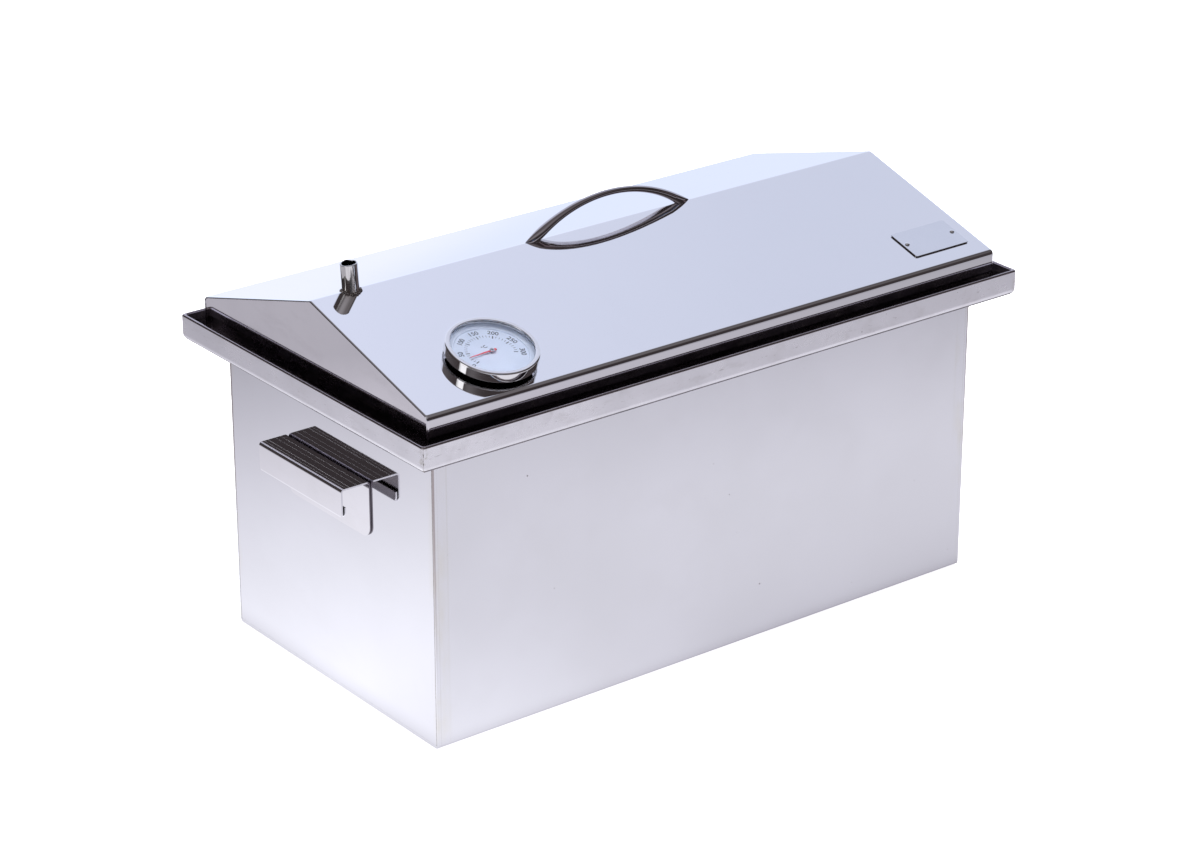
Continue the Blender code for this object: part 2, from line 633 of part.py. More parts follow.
def pointer_outline(steps=20):
    """Needle along +X that narrows from a round hub on the dial's axis."""
    hub = POINTER_HUB
    tip = POINTER_SHEET / 2
    sweep = 2 * math.pi - 2 * POINTER_NOTCH
    arc = [POINTER_NOTCH + sweep * step / steps for step in range(steps + 1)]
    outline = [(POINTER_LENGTH, -tip), (POINTER_LENGTH, tip)]
    outline += [(hub * math.cos(angle), hub * math.sin(angle)) for angle in arc]
    return outline


SMOKER, CUTTERS = start_scene()
STEEL = make_material("stainless_sheet", (0.72, 0.72, 0.74), 0.22, 1.0)
POLISHED = make_material("polished_stainless", (0.80, 0.80, 0.82), 0.06, 1.0)
WIRE = make_material("stainless_wire", (0.66, 0.66, 0.68), 0.28, 1.0)
BADGE = make_material("badge_steel", (0.78, 0.79, 0.82), 0.15, 1.0)
GLASS = make_material("clear_glass", (0.95, 0.97, 1.0), 0.02, 0.0)
DIAL = make_material("dial_paint", (0.70, 0.76, 0.84), 0.45, 0.0)
RED = make_material("red_paint", (0.75, 0.06, 0.07), 0.40, 0.0)

build_box()
build_channel()
build_side_handles()
build_ledges()
for tier, level in LEDGE_HEIGHTS.items():
    build_grate(f"{tier}_grate", level)
build_tray()
build_roof()
build_lid_handle()
build_smoke_tube()
build_badge()
build_thermometer()
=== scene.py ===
import math

import bmesh
import bpy
import numpy as np
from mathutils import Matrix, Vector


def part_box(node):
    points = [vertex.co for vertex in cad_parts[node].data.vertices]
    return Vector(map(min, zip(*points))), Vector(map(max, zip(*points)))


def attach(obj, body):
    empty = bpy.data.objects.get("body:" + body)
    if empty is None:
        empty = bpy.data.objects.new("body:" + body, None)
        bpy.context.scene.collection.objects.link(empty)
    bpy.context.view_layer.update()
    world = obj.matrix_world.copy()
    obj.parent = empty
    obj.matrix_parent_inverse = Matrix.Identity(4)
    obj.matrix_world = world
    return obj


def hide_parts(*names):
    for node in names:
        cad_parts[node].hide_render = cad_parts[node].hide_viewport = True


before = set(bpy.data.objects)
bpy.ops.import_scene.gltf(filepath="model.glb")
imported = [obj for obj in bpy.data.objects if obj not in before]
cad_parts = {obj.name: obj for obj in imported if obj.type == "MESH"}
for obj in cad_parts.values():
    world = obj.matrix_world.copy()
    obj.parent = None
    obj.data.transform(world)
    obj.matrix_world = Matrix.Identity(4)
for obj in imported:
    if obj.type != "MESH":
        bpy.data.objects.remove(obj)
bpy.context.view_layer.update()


def boxOf(node):
    # lowest and highest corner of a CAD node as two arrays
    low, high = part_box(node)
    return np.array(low), np.array(high)


def gridQuads(rows, cols, closeRows=False, closeCols=False):
    # one four-cornered face for each cell of a rows x cols grid of points, wrapping round where closed
    row, col = np.meshgrid(np.arange(rows if closeRows else rows - 1),
                           np.arange(cols if closeCols else cols - 1), indexing="ij")
    nextRow, nextCol = (row + 1) % rows, (col + 1) % cols
    cells = [row * cols + col, row * cols + nextCol, nextRow * cols + nextCol, nextRow * cols + col]
    return np.stack(cells, axis=-1).reshape(-1, 4)


def capQuads(cols, offset=0):
    # closes the end of a sheet section: point i of one side faces point cols - 1 - i of the other
    i = np.arange(cols // 2 - 1)
    return np.stack([i, i + 1, cols - 2 - i, cols - 1 - i], axis=-1) + offset


def sectionFaces(rows, cols):
    # the faces of a closed sheet section carried along, with both ends capped
    return np.vstack([gridQuads(rows, cols, closeCols=True), capQuads(cols),
                      capQuads(cols, (rows - 1) * cols)])


def roundedPath(corners, radii, steps=10, support=0.00025):
    # straight runs with an arc in place of each inner corner. An arc's points are its centre plus its arm
    # turned by an equal share of the bend. Where a run is long enough, a close point beyond each end of
    # the arc keeps the flats shading flat
    corners = np.array(corners, float)
    radii = np.broadcast_to(radii, len(corners) - 2)
    leg = np.diff(corners, axis=0)
    length = np.linalg.norm(leg, axis=1)
    leg /= length[:, None]
    half = (math.pi - np.arccos(np.clip((leg[:-1] * leg[1:]).sum(axis=1), -1, 1))) / 2
    reach = radii / np.tan(half)
    spare = length - np.concatenate([[0], reach]) - np.concatenate([reach, [0]])
    runs = [corners[:1]]
    for index, radius in enumerate(radii):
        corner, back, ahead = corners[index + 1], -leg[index], leg[index + 1]
        middle = (back + ahead) / np.linalg.norm(back + ahead)
        centre = corner + middle * radius / math.sin(half[index])
        arm = corner + back * reach[index] - centre
        sweep = -math.copysign(math.pi - 2 * half[index], back[0] * ahead[1] - back[1] * ahead[0])
        turn = sweep * np.linspace(0, 1, steps + 1)
        arc = centre + np.stack([arm[0] * np.cos(turn) - arm[1] * np.sin(turn),
                                 arm[0] * np.sin(turn) + arm[1] * np.cos(turn)], axis=-1)
        if spare[index] > 2.5 * support:
            runs.append(arc[:1] + back * support)
        runs.append(arc)
        if spare[index + 1] > 2.5 * support:
            runs.append(arc[-1:] + ahead * support)
    path = np.vstack(runs + [corners[-1:]])
    apart = np.linalg.norm(np.diff(path, axis=0), axis=1) > 1e-6
    return path[np.concatenate([[True], apart])]


def withStations(path, extra):
    # the same path with more points at the given distances along it, and each point's distance
    along = np.concatenate([[0], np.cumsum(np.linalg.norm(np.diff(path, axis=0), axis=1))])
    stops = np.unique(np.round(np.concatenate([along, extra]), 7))
    return np.stack([np.interp(stops, along, path[:, k]) for k in (0, 1)], axis=-1), stops


def sheetSection(path, outer, inner=None):
    # closed outline of a sheet: the path pushed to each side along the mean of the normals of its two
    # neighbours, lengthened so that each run keeps its thickness. One size means half to each side
    outer, inner = (outer / 2, outer / 2) if inner is None else (outer, inner)
    step = np.diff(path, axis=0)
    step /= np.linalg.norm(step, axis=1, keepdims=True)
    side = np.stack([-step[:, 1], step[:, 0]], axis=-1)
    share = 1 + (side[:-1] * side[1:]).sum(axis=1, keepdims=True)
    joint = np.vstack([side[:1], (side[:-1] + side[1:]) / share, side[-1:]])
    return np.vstack([path + joint * outer, (path - joint * inner)[::-1]])


def placed(points, place):
    # points turned and moved by a 4 x 4 place
    return points @ place[:3, :3].T + place[:3, 3]


def newPiece(name, points, faces, finishes, body, nodes=(), smooth=32.0,
             faceFinish=None):
    # one closed mesh piece from points and faces, smooth except across edges sharper than the angle
    mesh = bpy.data.meshes.new(name)
    points = np.asarray(points, float).reshape(-1, 3)
    mesh.from_pydata(points.tolist(), [], [list(map(int, face)) for face in faces])
    if faceFinish is not None:
        mesh.polygons.foreach_set("material_index", np.asarray(faceFinish, np.int32))
    bm = bmesh.new()
    bm.from_mesh(mesh)
    bmesh.ops.remove_doubles(bm, verts=bm.verts, dist=2e-6)
    bmesh.ops.dissolve_degenerate(bm, edges=bm.edges, dist=1e-7)
    bmesh.ops.recalc_face_normals(bm, faces=bm.faces)
    bm.to_mesh(mesh)
    bm.free()
    mesh.shade_smooth()
    mesh.set_sharp_from_angle(angle=math.radians(smooth))
    piece = bpy.data.objects.new(name, mesh)
    bpy.context.scene.collection.objects.link(piece)
    for finish in finishes if isinstance(finishes, (list, tuple)) else [finishes]:
        mesh.materials.append(finish)
    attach(piece, body)
    if nodes:
        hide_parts(*nodes)
    return piece


def softenEdges(piece, width):
    # a small bevel on the edges sharper than 50 degrees, with the flats kept flat
    bevel = piece.modifiers.new("Soft edges", "BEVEL")
    bevel.width = width
    bevel.segments = 2
    bevel.limit_method = "ANGLE"
    bevel.angle_limit = math.radians(50.0)
    bevel.harden_normals = True
    return piece


def bentSheet(name, path, thickness, halfWidth, move, finishes, body, nodes,
              bevel=0.0002, hidden=None):
    # a sheet section (out, up) carried from -halfWidth to +halfWidth. halfWidth may differ along the path,
    # and hidden tells for the outer and the inner face which runs have the second finish
    section = sheetSection(path, thickness)
    half = np.broadcast_to(halfWidth, len(path))
    half = np.concatenate([half, half[::-1]])
    across = np.linspace(-1, 1, 3)[:, None] * half
    out = np.broadcast_to(section[:, 0], across.shape)
    up = np.broadcast_to(section[:, 1], across.shape)
    points = move(np.stack([across, out, up], axis=-1))
    rows, cols = across.shape
    faces = sectionFaces(rows, cols)
    kind = None
    if hidden is not None:
        kind = np.concatenate([hidden[0], [0], hidden[1][::-1], [0]]).astype(int)
        kind = np.concatenate([np.tile(kind, rows - 1), np.zeros(2 * (cols // 2 - 1), int)])
    return softenEdges(newPiece(name, points, faces, finishes, body, nodes, faceFinish=kind), bevel)


def turnedPiece(name, profile, place, finish, body, nodes=(), steps=160,
                closed=True, wobble=None, smooth=32.0, second=None):
    # a profile of radius and height turned about the place's third axis. wobble(turn, radius, height)
    # gives uneven rims and threads, and second picks the finish for each run of the profile
    profile = np.array(profile, float)
    turn = np.linspace(0, 2 * math.pi, steps, endpoint=False)[:, None]
    radius = np.broadcast_to(profile[:, 0], (steps, len(profile))).copy()
    height = np.broadcast_to(profile[:, 1], radius.shape).copy()
    if wobble is not None:
        radius, height = wobble(turn, radius, height)
    points = placed(np.stack([radius * np.cos(turn), radius * np.sin(turn), height], axis=-1), place)
    faces = gridQuads(steps, len(profile), closeRows=True, closeCols=closed)
    kind = None if second is None else np.tile(second, steps)
    return newPiece(name, points, faces, finish, body, nodes, smooth, kind)


def ropeMesh(path, radius, sides=12, closed=False, up=(0, 0, 1)):
    # a round section carried along a path: each ring lies square to the path's direction there
    ahead = (np.roll(path, -1, axis=0) - np.roll(path, 1, axis=0)) if closed else np.gradient(path, axis=0)
    ahead /= np.linalg.norm(ahead, axis=1, keepdims=True)
    side = np.cross(ahead, np.array(up, float))
    side /= np.linalg.norm(side, axis=1, keepdims=True)
    over = np.cross(side, ahead)
    turn = np.linspace(0, 2 * math.pi, sides, endpoint=False)[None, :, None]
    radius = np.broadcast_to(radius, len(path))[:, None, None]
    points = path[:, None] + radius * (np.cos(turn) * side[:, None] + np.sin(turn) * over[:, None])
    faces = gridQuads(len(path), sides, closeRows=closed, closeCols=True).tolist()
    if not closed:
        faces += [list(range(sides)), list(range((len(path) - 1) * sides, len(path) * sides))]
    return points.reshape(-1, 3), faces


def joined(parts):
    # several (points, faces) pairs as one pair
    points, faces, start = [], [], 0
    for partPoints, partFaces in parts:
        points.append(partPoints)
        faces += [[int(i) + start for i in face] for face in partFaces]
        start += len(partPoints)
    return np.vstack(points), faces


def lumps(turn, seed, terms=9):
    # an uneven outline: a sum of waves of rising frequency with random phases, from about -1 to 1
    rng = np.random.default_rng(seed)
    total = 0
    for wave in range(2, 2 + terms):
        total = total + rng.normal() / wave ** 0.5 * np.sin(wave * turn + rng.uniform(0, 6.28))
    usualPeak = 2.2
    return total / usualPeak


def addNode(tree, kind, inputs=None, **settings):
    # a shader node with its sockets linked or set
    made = tree.nodes.new("ShaderNode" + kind)
    for key, value in settings.items():
        setattr(made, key, value)
    for key, value in (inputs or {}).items():
        socket = made.inputs[key]
        if isinstance(value, bpy.types.NodeSocket):
            tree.links.new(value, socket)
        else:
            socket.default_value = value
    return made


def maths(tree, operation, a, b=0.0, c=0.0):
    # one Math node, up to three inputs
    return addNode(tree, "Math", {0: a, 1: b, 2: c}, operation=operation).outputs[0]


def ramp(tree, value, low, high, toLow=0.0, toHigh=1.0, smooth=True):
    # toLow up to low, toHigh from high on, and an S curve or a straight line between them
    made = addNode(tree, "MapRange", {"Value": value, "From Min": low, "From Max": high,
                                      "To Min": toLow, "To Max": toHigh},
                   interpolation_type="SMOOTHSTEP" if smooth else "LINEAR")
    return made.outputs["Result"]


def mixColour(tree, factor, a, b, blend="MIX"):
    # colour a where the factor is 0 and b where it is 1, or the two multiplied
    made = tree.nodes.new("ShaderNodeMix")
    made.data_type = "RGBA"
    made.blend_type = blend
    for index, value in ((0, factor), (6, a), (7, b)):
        if isinstance(value, bpy.types.NodeSocket):
            tree.links.new(value, made.inputs[index])
        elif index == 0:
            made.inputs[index].default_value = value
        else:
            made.inputs[index].default_value = (*value[:3], 1.0)
    return made.outputs[2]


def startMaterial(name):
    # a material with only its output, and the object's own coordinates to read patterns from
    material = bpy.data.materials.new(name)
    material.use_nodes = True
    tree = material.node_tree
    tree.nodes.clear()
    output = tree.nodes.new("ShaderNodeOutputMaterial")
    place = tree.nodes.new("ShaderNodeTexCoord").outputs["Object"]
    return material, tree, output, place


def noise(tree, place, scale, stretch=(1, 1, 1), turn=(0, 0, 0), detail=3.0, rough=0.5):
    # cloudy values round 0.5, finer as the scale grows, on turned and stretched coordinates
    spread = addNode(tree, "Mapping", {"Vector": place, "Scale": stretch, "Rotation": turn}).outputs[0]
    return addNode(tree, "TexNoise", {"Vector": spread, "Scale": scale, "Detail": detail,
                                      "Roughness": rough}).outputs["Fac"]


def steelFinish(name, look, marks=None):
    # stainless sheet: rolled grain, cloudy handling smudges, fine scratches, dust specks and, through
    # marks(tree, place), stains, pressed lines, painted shade and painted highlights: (mask, tint, roughness
    # added, height, metal lost)
    material, tree, output, place = startMaterial(name)
    cloud = ramp(tree, noise(tree, place, look["cloudScale"], detail=4.0), 0.32, 0.70)
    smear = noise(tree, place, look["cloudScale"] * 3.1, (1, 0.35, 1), (0.5, 0.7, 0.4), detail=6.0,
                  rough=0.62)
    smear = ramp(tree, smear, 0.48, 0.74)
    grain = noise(tree, place, 1.0, look["grainScale"], detail=2.0)
    scratch = noise(tree, place, 1.0, look["scratchScale"], look.get("scratchTurn", (0.3, 0.6, 0.9)),
                    detail=1.0)
    scratch = ramp(tree, scratch, look.get("scratchCut", 0.70), 0.78)
    cells = addNode(tree, "TexVoronoi", {"Vector": place, "Scale": look["speckScale"]}, feature="F1")
    lucky = addNode(tree, "SeparateColor", {0: cells.outputs["Color"]}).outputs[0]
    size = ramp(tree, lucky, look["speckCut"], 1.0, 0.0, look["speckSize"], smooth=False)
    speck = maths(tree, "LESS_THAN", cells.outputs["Distance"], size)
    colour = mixColour(tree, cloud, look["colour"], look["cloudColour"])
    colour = mixColour(tree, maths(tree, "MULTIPLY", smear, look["smear"]), colour, look["smearColour"])
    dirt = maths(tree, "MULTIPLY", speck, look.get("speckDark", 0.55))
    colour = mixColour(tree, dirt, colour, (0.16, 0.14, 0.13))
    rough = maths(tree, "MULTIPLY_ADD", cloud, look["roughSpread"], look["roughness"])
    rough = maths(tree, "MULTIPLY_ADD", smear, look["smear"] * look["smearRough"], rough)
    rough = maths(tree, "MULTIPLY_ADD", scratch, look["scratchRough"], rough)
    rough = maths(tree, "MULTIPLY_ADD", speck, 0.25, rough)
    height = maths(tree, "MULTIPLY", grain, look["grainDepth"])
    height = maths(tree, "MULTIPLY_ADD", scratch, -look["scratchDepth"], height)
    swell = noise(tree, place, look.get("swellScale", 9.0), detail=1.0)
    height = maths(tree, "MULTIPLY_ADD", swell, look.get("swellDepth", 0.0), height)
    metal = maths(tree, "MULTIPLY_ADD", speck, -0.2, 1.0)
    if marks is not None:
        for mask, tint, added, depth, dull in marks(tree, place):
            colour = mixColour(tree, mask, colour, tint)
            rough = maths(tree, "MULTIPLY_ADD", mask, added, rough)
            height = maths(tree, "MULTIPLY_ADD", mask, depth, height)
            metal = maths(tree, "MULTIPLY_ADD", mask, -dull, metal)
    rough = maths(tree, "MAXIMUM", rough, 0.012)
    bump = addNode(tree, "Bump", {"Height": height, "Distance": 1.0, "Strength": 1.0})
    shader = addNode(tree, "BsdfPrincipled", {"Base Color": colour, "Metallic": metal, "Roughness": rough,
                                              "Normal": bump.outputs[0]})
    tree.links.new(shader.outputs[0], output.inputs[0])
    return material


def axes(tree, place):
    # the three parts of a vector
    parts = addNode(tree, "SeparateXYZ", {0: place})
    return parts.outputs[0], parts.outputs[1], parts.outputs[2]


def line(tree, value, centre, width):
    # 1 on the centre, falling smoothly to 0 a width away
    away = maths(tree, "ABSOLUTE", maths(tree, "SUBTRACT", value, centre))
    return ramp(tree, away, width, 0.0)


halfLength, halfDepth, boxHeight = boxOf("body_shell")[1]
lidLow, lidHigh = boxOf("lid_roof")
lidHalfLength, lidHalfDepth = lidHigh[0], lidHigh[1]
skirtLevel, ridgeLevel = lidLow[2], lidHigh[2]
channelLow, channelHigh = boxOf("channel_front")
channelReach = -channelLow[1] - halfDepth
rimLevel, channelLevel = channelHigh[2], channelLow[2]

lidSizes = {
    "sheet": 0.0010,
    "eaveLevel": 0.2640,        # where the slope would meet the skirt's plane
    "ridgeLevel": 0.3050,
    "bend": 0.0042,
    "endRound": 0.0009,
    "gap": 0.0003,
}
pitch = math.atan2(lidSizes["ridgeLevel"] - lidSizes["eaveLevel"], lidHalfDepth)


def roofLevel(y):
    # height of the roof's outer face over a point
    return lidSizes["ridgeLevel"] - np.abs(y) * math.tan(pitch)


def slopePlace(x, y):
    # place on the front slope: first axis along the lid, second uphill, third square to the sheet
    cos, sin = math.cos(pitch), math.sin(pitch)
    return np.array([[1, 0, 0, x], [0, cos, -sin, y], [0, sin, cos, roofLevel(y)], [0, 0, 0, 1]], float)


wallTurns = {"back": 0, "left": 90, "front": 180, "right": -90}
wallOut = {"back": halfDepth, "left": halfLength, "front": halfDepth, "right": halfLength}
wallHalf = {"back": halfLength, "left": halfDepth, "front": halfLength, "right": halfDepth}


def onWall(side):
    # moves (along, out, up) from a wall's own directions to the object's
    turn = math.radians(wallTurns[side])
    cos, sin = math.cos(turn), math.sin(turn)

    def move(points):
        along, out, up = points[..., 0], points[..., 1] + wallOut[side], points[..., 2]
        return np.stack([along * cos - out * sin, along * sin + out * cos, up], axis=-1)
    return move


wallLook = {
    "colour": (0.80, 0.80, 0.835), "cloudColour": (0.77, 0.77, 0.80), "cloudScale": 7.0,
    "roughness": 0.11, "roughSpread": 0.06,
    "smear": 0.35, "smearColour": (0.76, 0.755, 0.785), "smearRough": 0.10,
    "grainScale": (140, 140, 2600), "grainDepth": 0.0000010,
    "scratchScale": (9, 9, 900), "scratchTurn": (0.15, 0.35, 0.2), "scratchRough": 0.05,
    "scratchDepth": 0.0000012,
    "speckScale": 130.0, "speckCut": 0.955, "speckSize": 0.11,
    "swellScale": 6.0, "swellDepth": 0.00040,
}


def wallMarks(tree, place):
    # welds in from the upright edges, the edge of the folded flange behind them, heat tint, a brown line
    # down the corner itself, and painted shade along the foot where the wall meets the floor
    x, y, z = axes(tree, place)
    fromEnd = maths(tree, "SUBTRACT", halfLength, maths(tree, "ABSOLUTE", x))
    dots = maths(tree, "SINE", maths(tree, "MULTIPLY", z, 2 * math.pi / 0.0021))
    dots = ramp(tree, dots, 0.0, 0.9)
    spots = maths(tree, "MULTIPLY", line(tree, fromEnd, 0.0032, 0.0006), dots)
    fold = maths(tree, "MULTIPLY", line(tree, fromEnd, 0.0112, 0.0011),
                 ramp(tree, z, 0.02, 0.22, 0.25, 1.0))
    fold = maths(tree, "MULTIPLY", fold, ramp(tree, x, 0.05, -0.05, 0.35, 1.0))
    corner = maths(tree, "MULTIPLY", ramp(tree, fromEnd, 0.0016, 0.0006), ramp(tree, z, 0.03, 0.21))
    tint = ramp(tree, fromEnd, 0.016, 0.001)
    patch = noise(tree, place, 60.0, (1, 1, 0.4), detail=3.0)
    tint = maths(tree, "MULTIPLY", tint, ramp(tree, patch, 0.42, 0.68))
    # painted shade: the lowest 2 mm of the wall darkened where it meets the floor
    low = ramp(tree, z, 0.0022, 0.0)
    return [(maths(tree, "MULTIPLY", tint, 0.55), (0.74, 0.715, 0.64), 0.04, 0.0, 0.0),
            (maths(tree, "MULTIPLY", spots, 0.45), (0.52, 0.50, 0.48), 0.10, -0.000015, 0.0),
            (maths(tree, "MULTIPLY", corner, 0.75), (0.33, 0.27, 0.25), 0.05, 0.0, 0.0),
            (maths(tree, "MULTIPLY", fold, 0.40), (0.70, 0.69, 0.66), 0.02, -0.00001, 0.0),
            (maths(tree, "MULTIPLY", low, 0.12), (0.55, 0.53, 0.52), 0.05, 0.0, 0.0)]


wallSteel = steelFinish("wallSteel", wallLook, wallMarks)

panelLook = dict(wallLook, roughness=0.018, roughSpread=0.030, smear=0.40, smearRough=0.06,
                 scratchTurn=(0.8, 0.1, 0.2), speckCut=0.965)


def panelMarks(tree, place):
    # heat tint and ground weld along the upright edges of the end panels, and painted shade along the foot
    # where the panel meets the floor
    x, y, z = axes(tree, place)
    fromEdge = maths(tree, "SUBTRACT", halfDepth, maths(tree, "ABSOLUTE", y))
    patch = noise(tree, place, 70.0, (1, 1, 0.3), detail=3.0)
    tint = maths(tree, "MULTIPLY", ramp(tree, fromEdge, 0.009, 0.001), ramp(tree, patch, 0.40, 0.66))
    # painted shade: the lowest 2 mm of the panel darkened where it meets the floor
    low = ramp(tree, z, 0.0022, 0.0)
    return [(maths(tree, "MULTIPLY", tint, 0.4), (0.74, 0.71, 0.64), 0.05, 0.0, 0.0),
            (maths(tree, "MULTIPLY", low, 0.12), (0.55, 0.53, 0.52), 0.05, 0.0, 0.0)]


panelSteel = steelFinish("panelSteel", panelLook, panelMarks)

roofLook = {
    "colour": (0.905, 0.905, 0.92), "cloudColour": (0.89, 0.89, 0.91), "cloudScale": 5.0,
    "roughness": 0.028, "roughSpread": 0.018,
    "smear": 0.20, "smearColour": (0.86, 0.86, 0.88), "smearRough": 0.10,
    "grainScale": (1800, 60, 60), "grainDepth": 0.00000008,
    "scratchScale": (8, 1100, 1100), "scratchRough": 0.03, "scratchDepth": 0.0000001,
    "speckScale": 75.0, "speckCut": 0.93, "speckSize": 0.035, "speckDark": 0.5,
    "swellScale": 6.0, "swellDepth": 0.00006,
}


def roofMarks(tree, place):
    # painted shade: the skirt below the bend is darkened and made a little rougher, most at the end with the
    # smoke tube
    x, y, z = axes(tree, place)
    side = ramp(tree, maths(tree, "ABSOLUTE", y), lidHalfDepth - 0.0009, lidHalfDepth - 0.0004)
    side = maths(tree, "MULTIPLY", side, ramp(tree, x, -0.22, 0.25, 1.0, 0.30))
    return [(side, (0.66, 0.645, 0.675), 0.015, 0.0, 0.0)]


roofSteel = steelFinish("roofSteel", roofLook, roofMarks)

gableLook = dict(roofLook, colour=(0.84, 0.82, 0.845), cloudColour=(0.78, 0.76, 0.79),
                 roughness=0.035, roughSpread=0.05, smear=0.65, smearColour=(0.72, 0.695, 0.72),
                 smearRough=0.14, cloudScale=14.0, scratchScale=(14, 14, 700),
                 scratchTurn=(0.9, 0.25, 0.1), scratchRough=0.10, scratchDepth=0.0000010,
                 speckScale=150.0, speckCut=0.95, speckSize=0.10)
gableSteel = steelFinish("gableSteel", gableLook)

channelLook = {
    "colour": (0.87, 0.86, 0.895), "cloudColour": (0.83, 0.82, 0.855), "cloudScale": 22.0,
    "roughness": 0.24, "roughSpread": 0.10,
    "smear": 0.45, "smearColour": (0.74, 0.72, 0.735), "smearRough": 0.14,
    "grainScale": (500, 500, 3000), "grainDepth": 0.0000012,
    "scratchScale": (30, 30, 1500), "scratchTurn": (0.2, 0.2, 0.3), "scratchRough": 0.10,
    "scratchDepth": 0.0000020,
    "speckScale": 210.0, "speckCut": 0.86, "speckSize": 0.14, "speckDark": 0.5,
    "swellScale": 18.0, "swellDepth": 0.00008,
}


def channelMarks(tree, place):
    # ground welds at the four mitres, painted shade on the rolled rim, rubbed streaks and a row of die marks
    x, y, z = axes(tree, place)
    fromSide = maths(tree, "SUBTRACT", maths(tree, "ABSOLUTE", x), halfLength)
    fromFront = maths(tree, "SUBTRACT", maths(tree, "ABSOLUTE", y), halfDepth)
    mitre = maths(tree, "ABSOLUTE", maths(tree, "SUBTRACT", fromSide, fromFront))
    patch = noise(tree, place, 260.0, detail=3.0, rough=0.6)
    ground = maths(tree, "MULTIPLY", ramp(tree, mitre, 0.007, 0.0015), ramp(tree, patch, 0.45, 0.62))
    bead = ramp(tree, mitre, 0.0010, 0.0003)
    # painted shade: the rolled rim darkened brown
    rimShade = ramp(tree, z, rimLevel - 0.0017, rimLevel - 0.0010)
    streak = noise(tree, place, 34.0, (1, 1, 3.5), detail=5.0, rough=0.6)
    streak = maths(tree, "MULTIPLY", ramp(tree, streak, 0.55, 0.72),
                   ramp(tree, z, channelLevel, channelLevel + 0.010, 0.3, 1.0))
    row = noise(tree, place, 1.0, (240, 240, 900), detail=2.0)
    row = maths(tree, "MULTIPLY", ramp(tree, row, 0.62, 0.70), line(tree, z, rimLevel - 0.0090, 0.0022))
    blotch = maths(tree, "MULTIPLY", ramp(tree, mitre, 0.0045, 0.0008), ramp(tree, patch, 0.56, 0.70))
    return [(maths(tree, "MULTIPLY", ground, 0.5), (0.66, 0.64, 0.59), 0.16, 0.000008, 0.0),
            (maths(tree, "MULTIPLY", blotch, 0.55), (0.36, 0.31, 0.27), 0.15, 0.000010, 0.1),
            (maths(tree, "MULTIPLY", bead, 0.35), (0.42, 0.39, 0.37), 0.15, 0.0, 0.0),
            (maths(tree, "MULTIPLY", rimShade, 0.85), (0.40, 0.345, 0.36), -0.08, 0.0, 0.0),
            (maths(tree, "MULTIPLY", streak, 0.30), (0.62, 0.60, 0.60), 0.06, 0.0, 0.0),
            (maths(tree, "MULTIPLY", row, 0.5), (0.45, 0.43, 0.43), 0.15, -0.00001, 0.0)]


channelSteel = steelFinish("channelSteel", channelLook, channelMarks)
# painted shade: a near-black copy of the channel's steel for the faces inside the trough
troughShadeLook = dict(channelLook, colour=(0.24, 0.195, 0.235), cloudColour=(0.16, 0.13, 0.16), cloudScale=36.0,
                smearColour=(0.38, 0.32, 0.30), smear=0.8, roughness=0.20, speckDark=0.2)


def soakedMarks(tree, place):
    # painted shade: a near-black dull film over every face, deeper in patches, with a faint stain line at
    # the old water level
    x, y, z = axes(tree, place)
    film = ramp(tree, noise(tree, place, 55.0, (1, 1, 2.2), detail=3.0, rough=0.5), 0.38, 0.70, 0.62, 1.0)
    tide = maths(tree, "MULTIPLY", line(tree, z, rimLevel - 0.0095, 0.0009),
                 ramp(tree, noise(tree, place, 30.0), 0.4, 0.6))
    return [(film, (0.036, 0.028, 0.034), 0.04, 0.000001, 0.50),
            (maths(tree, "MULTIPLY", tide, 0.6), (0.16, 0.13, 0.12), 0.10, 0.000004, 0.2)]


channelInsideShade = steelFinish("channelInsideShade", troughShadeLook, soakedMarks)

handleLook = dict(roofLook, colour=(0.86, 0.85, 0.875), cloudColour=(0.83, 0.82, 0.84), roughness=0.03,
                  roughSpread=0.03, smear=0.25, smearColour=(0.78, 0.76, 0.77), smearRough=0.14,
                  cloudScale=26.0, speckScale=520.0, speckCut=0.965, speckSize=0.09, speckDark=0.35,
                  scratchScale=(420, 9, 420), scratchTurn=(0, 0, 0), scratchCut=0.74, scratchRough=0.03,
                  scratchDepth=0.0000001, grainDepth=0.00000003)


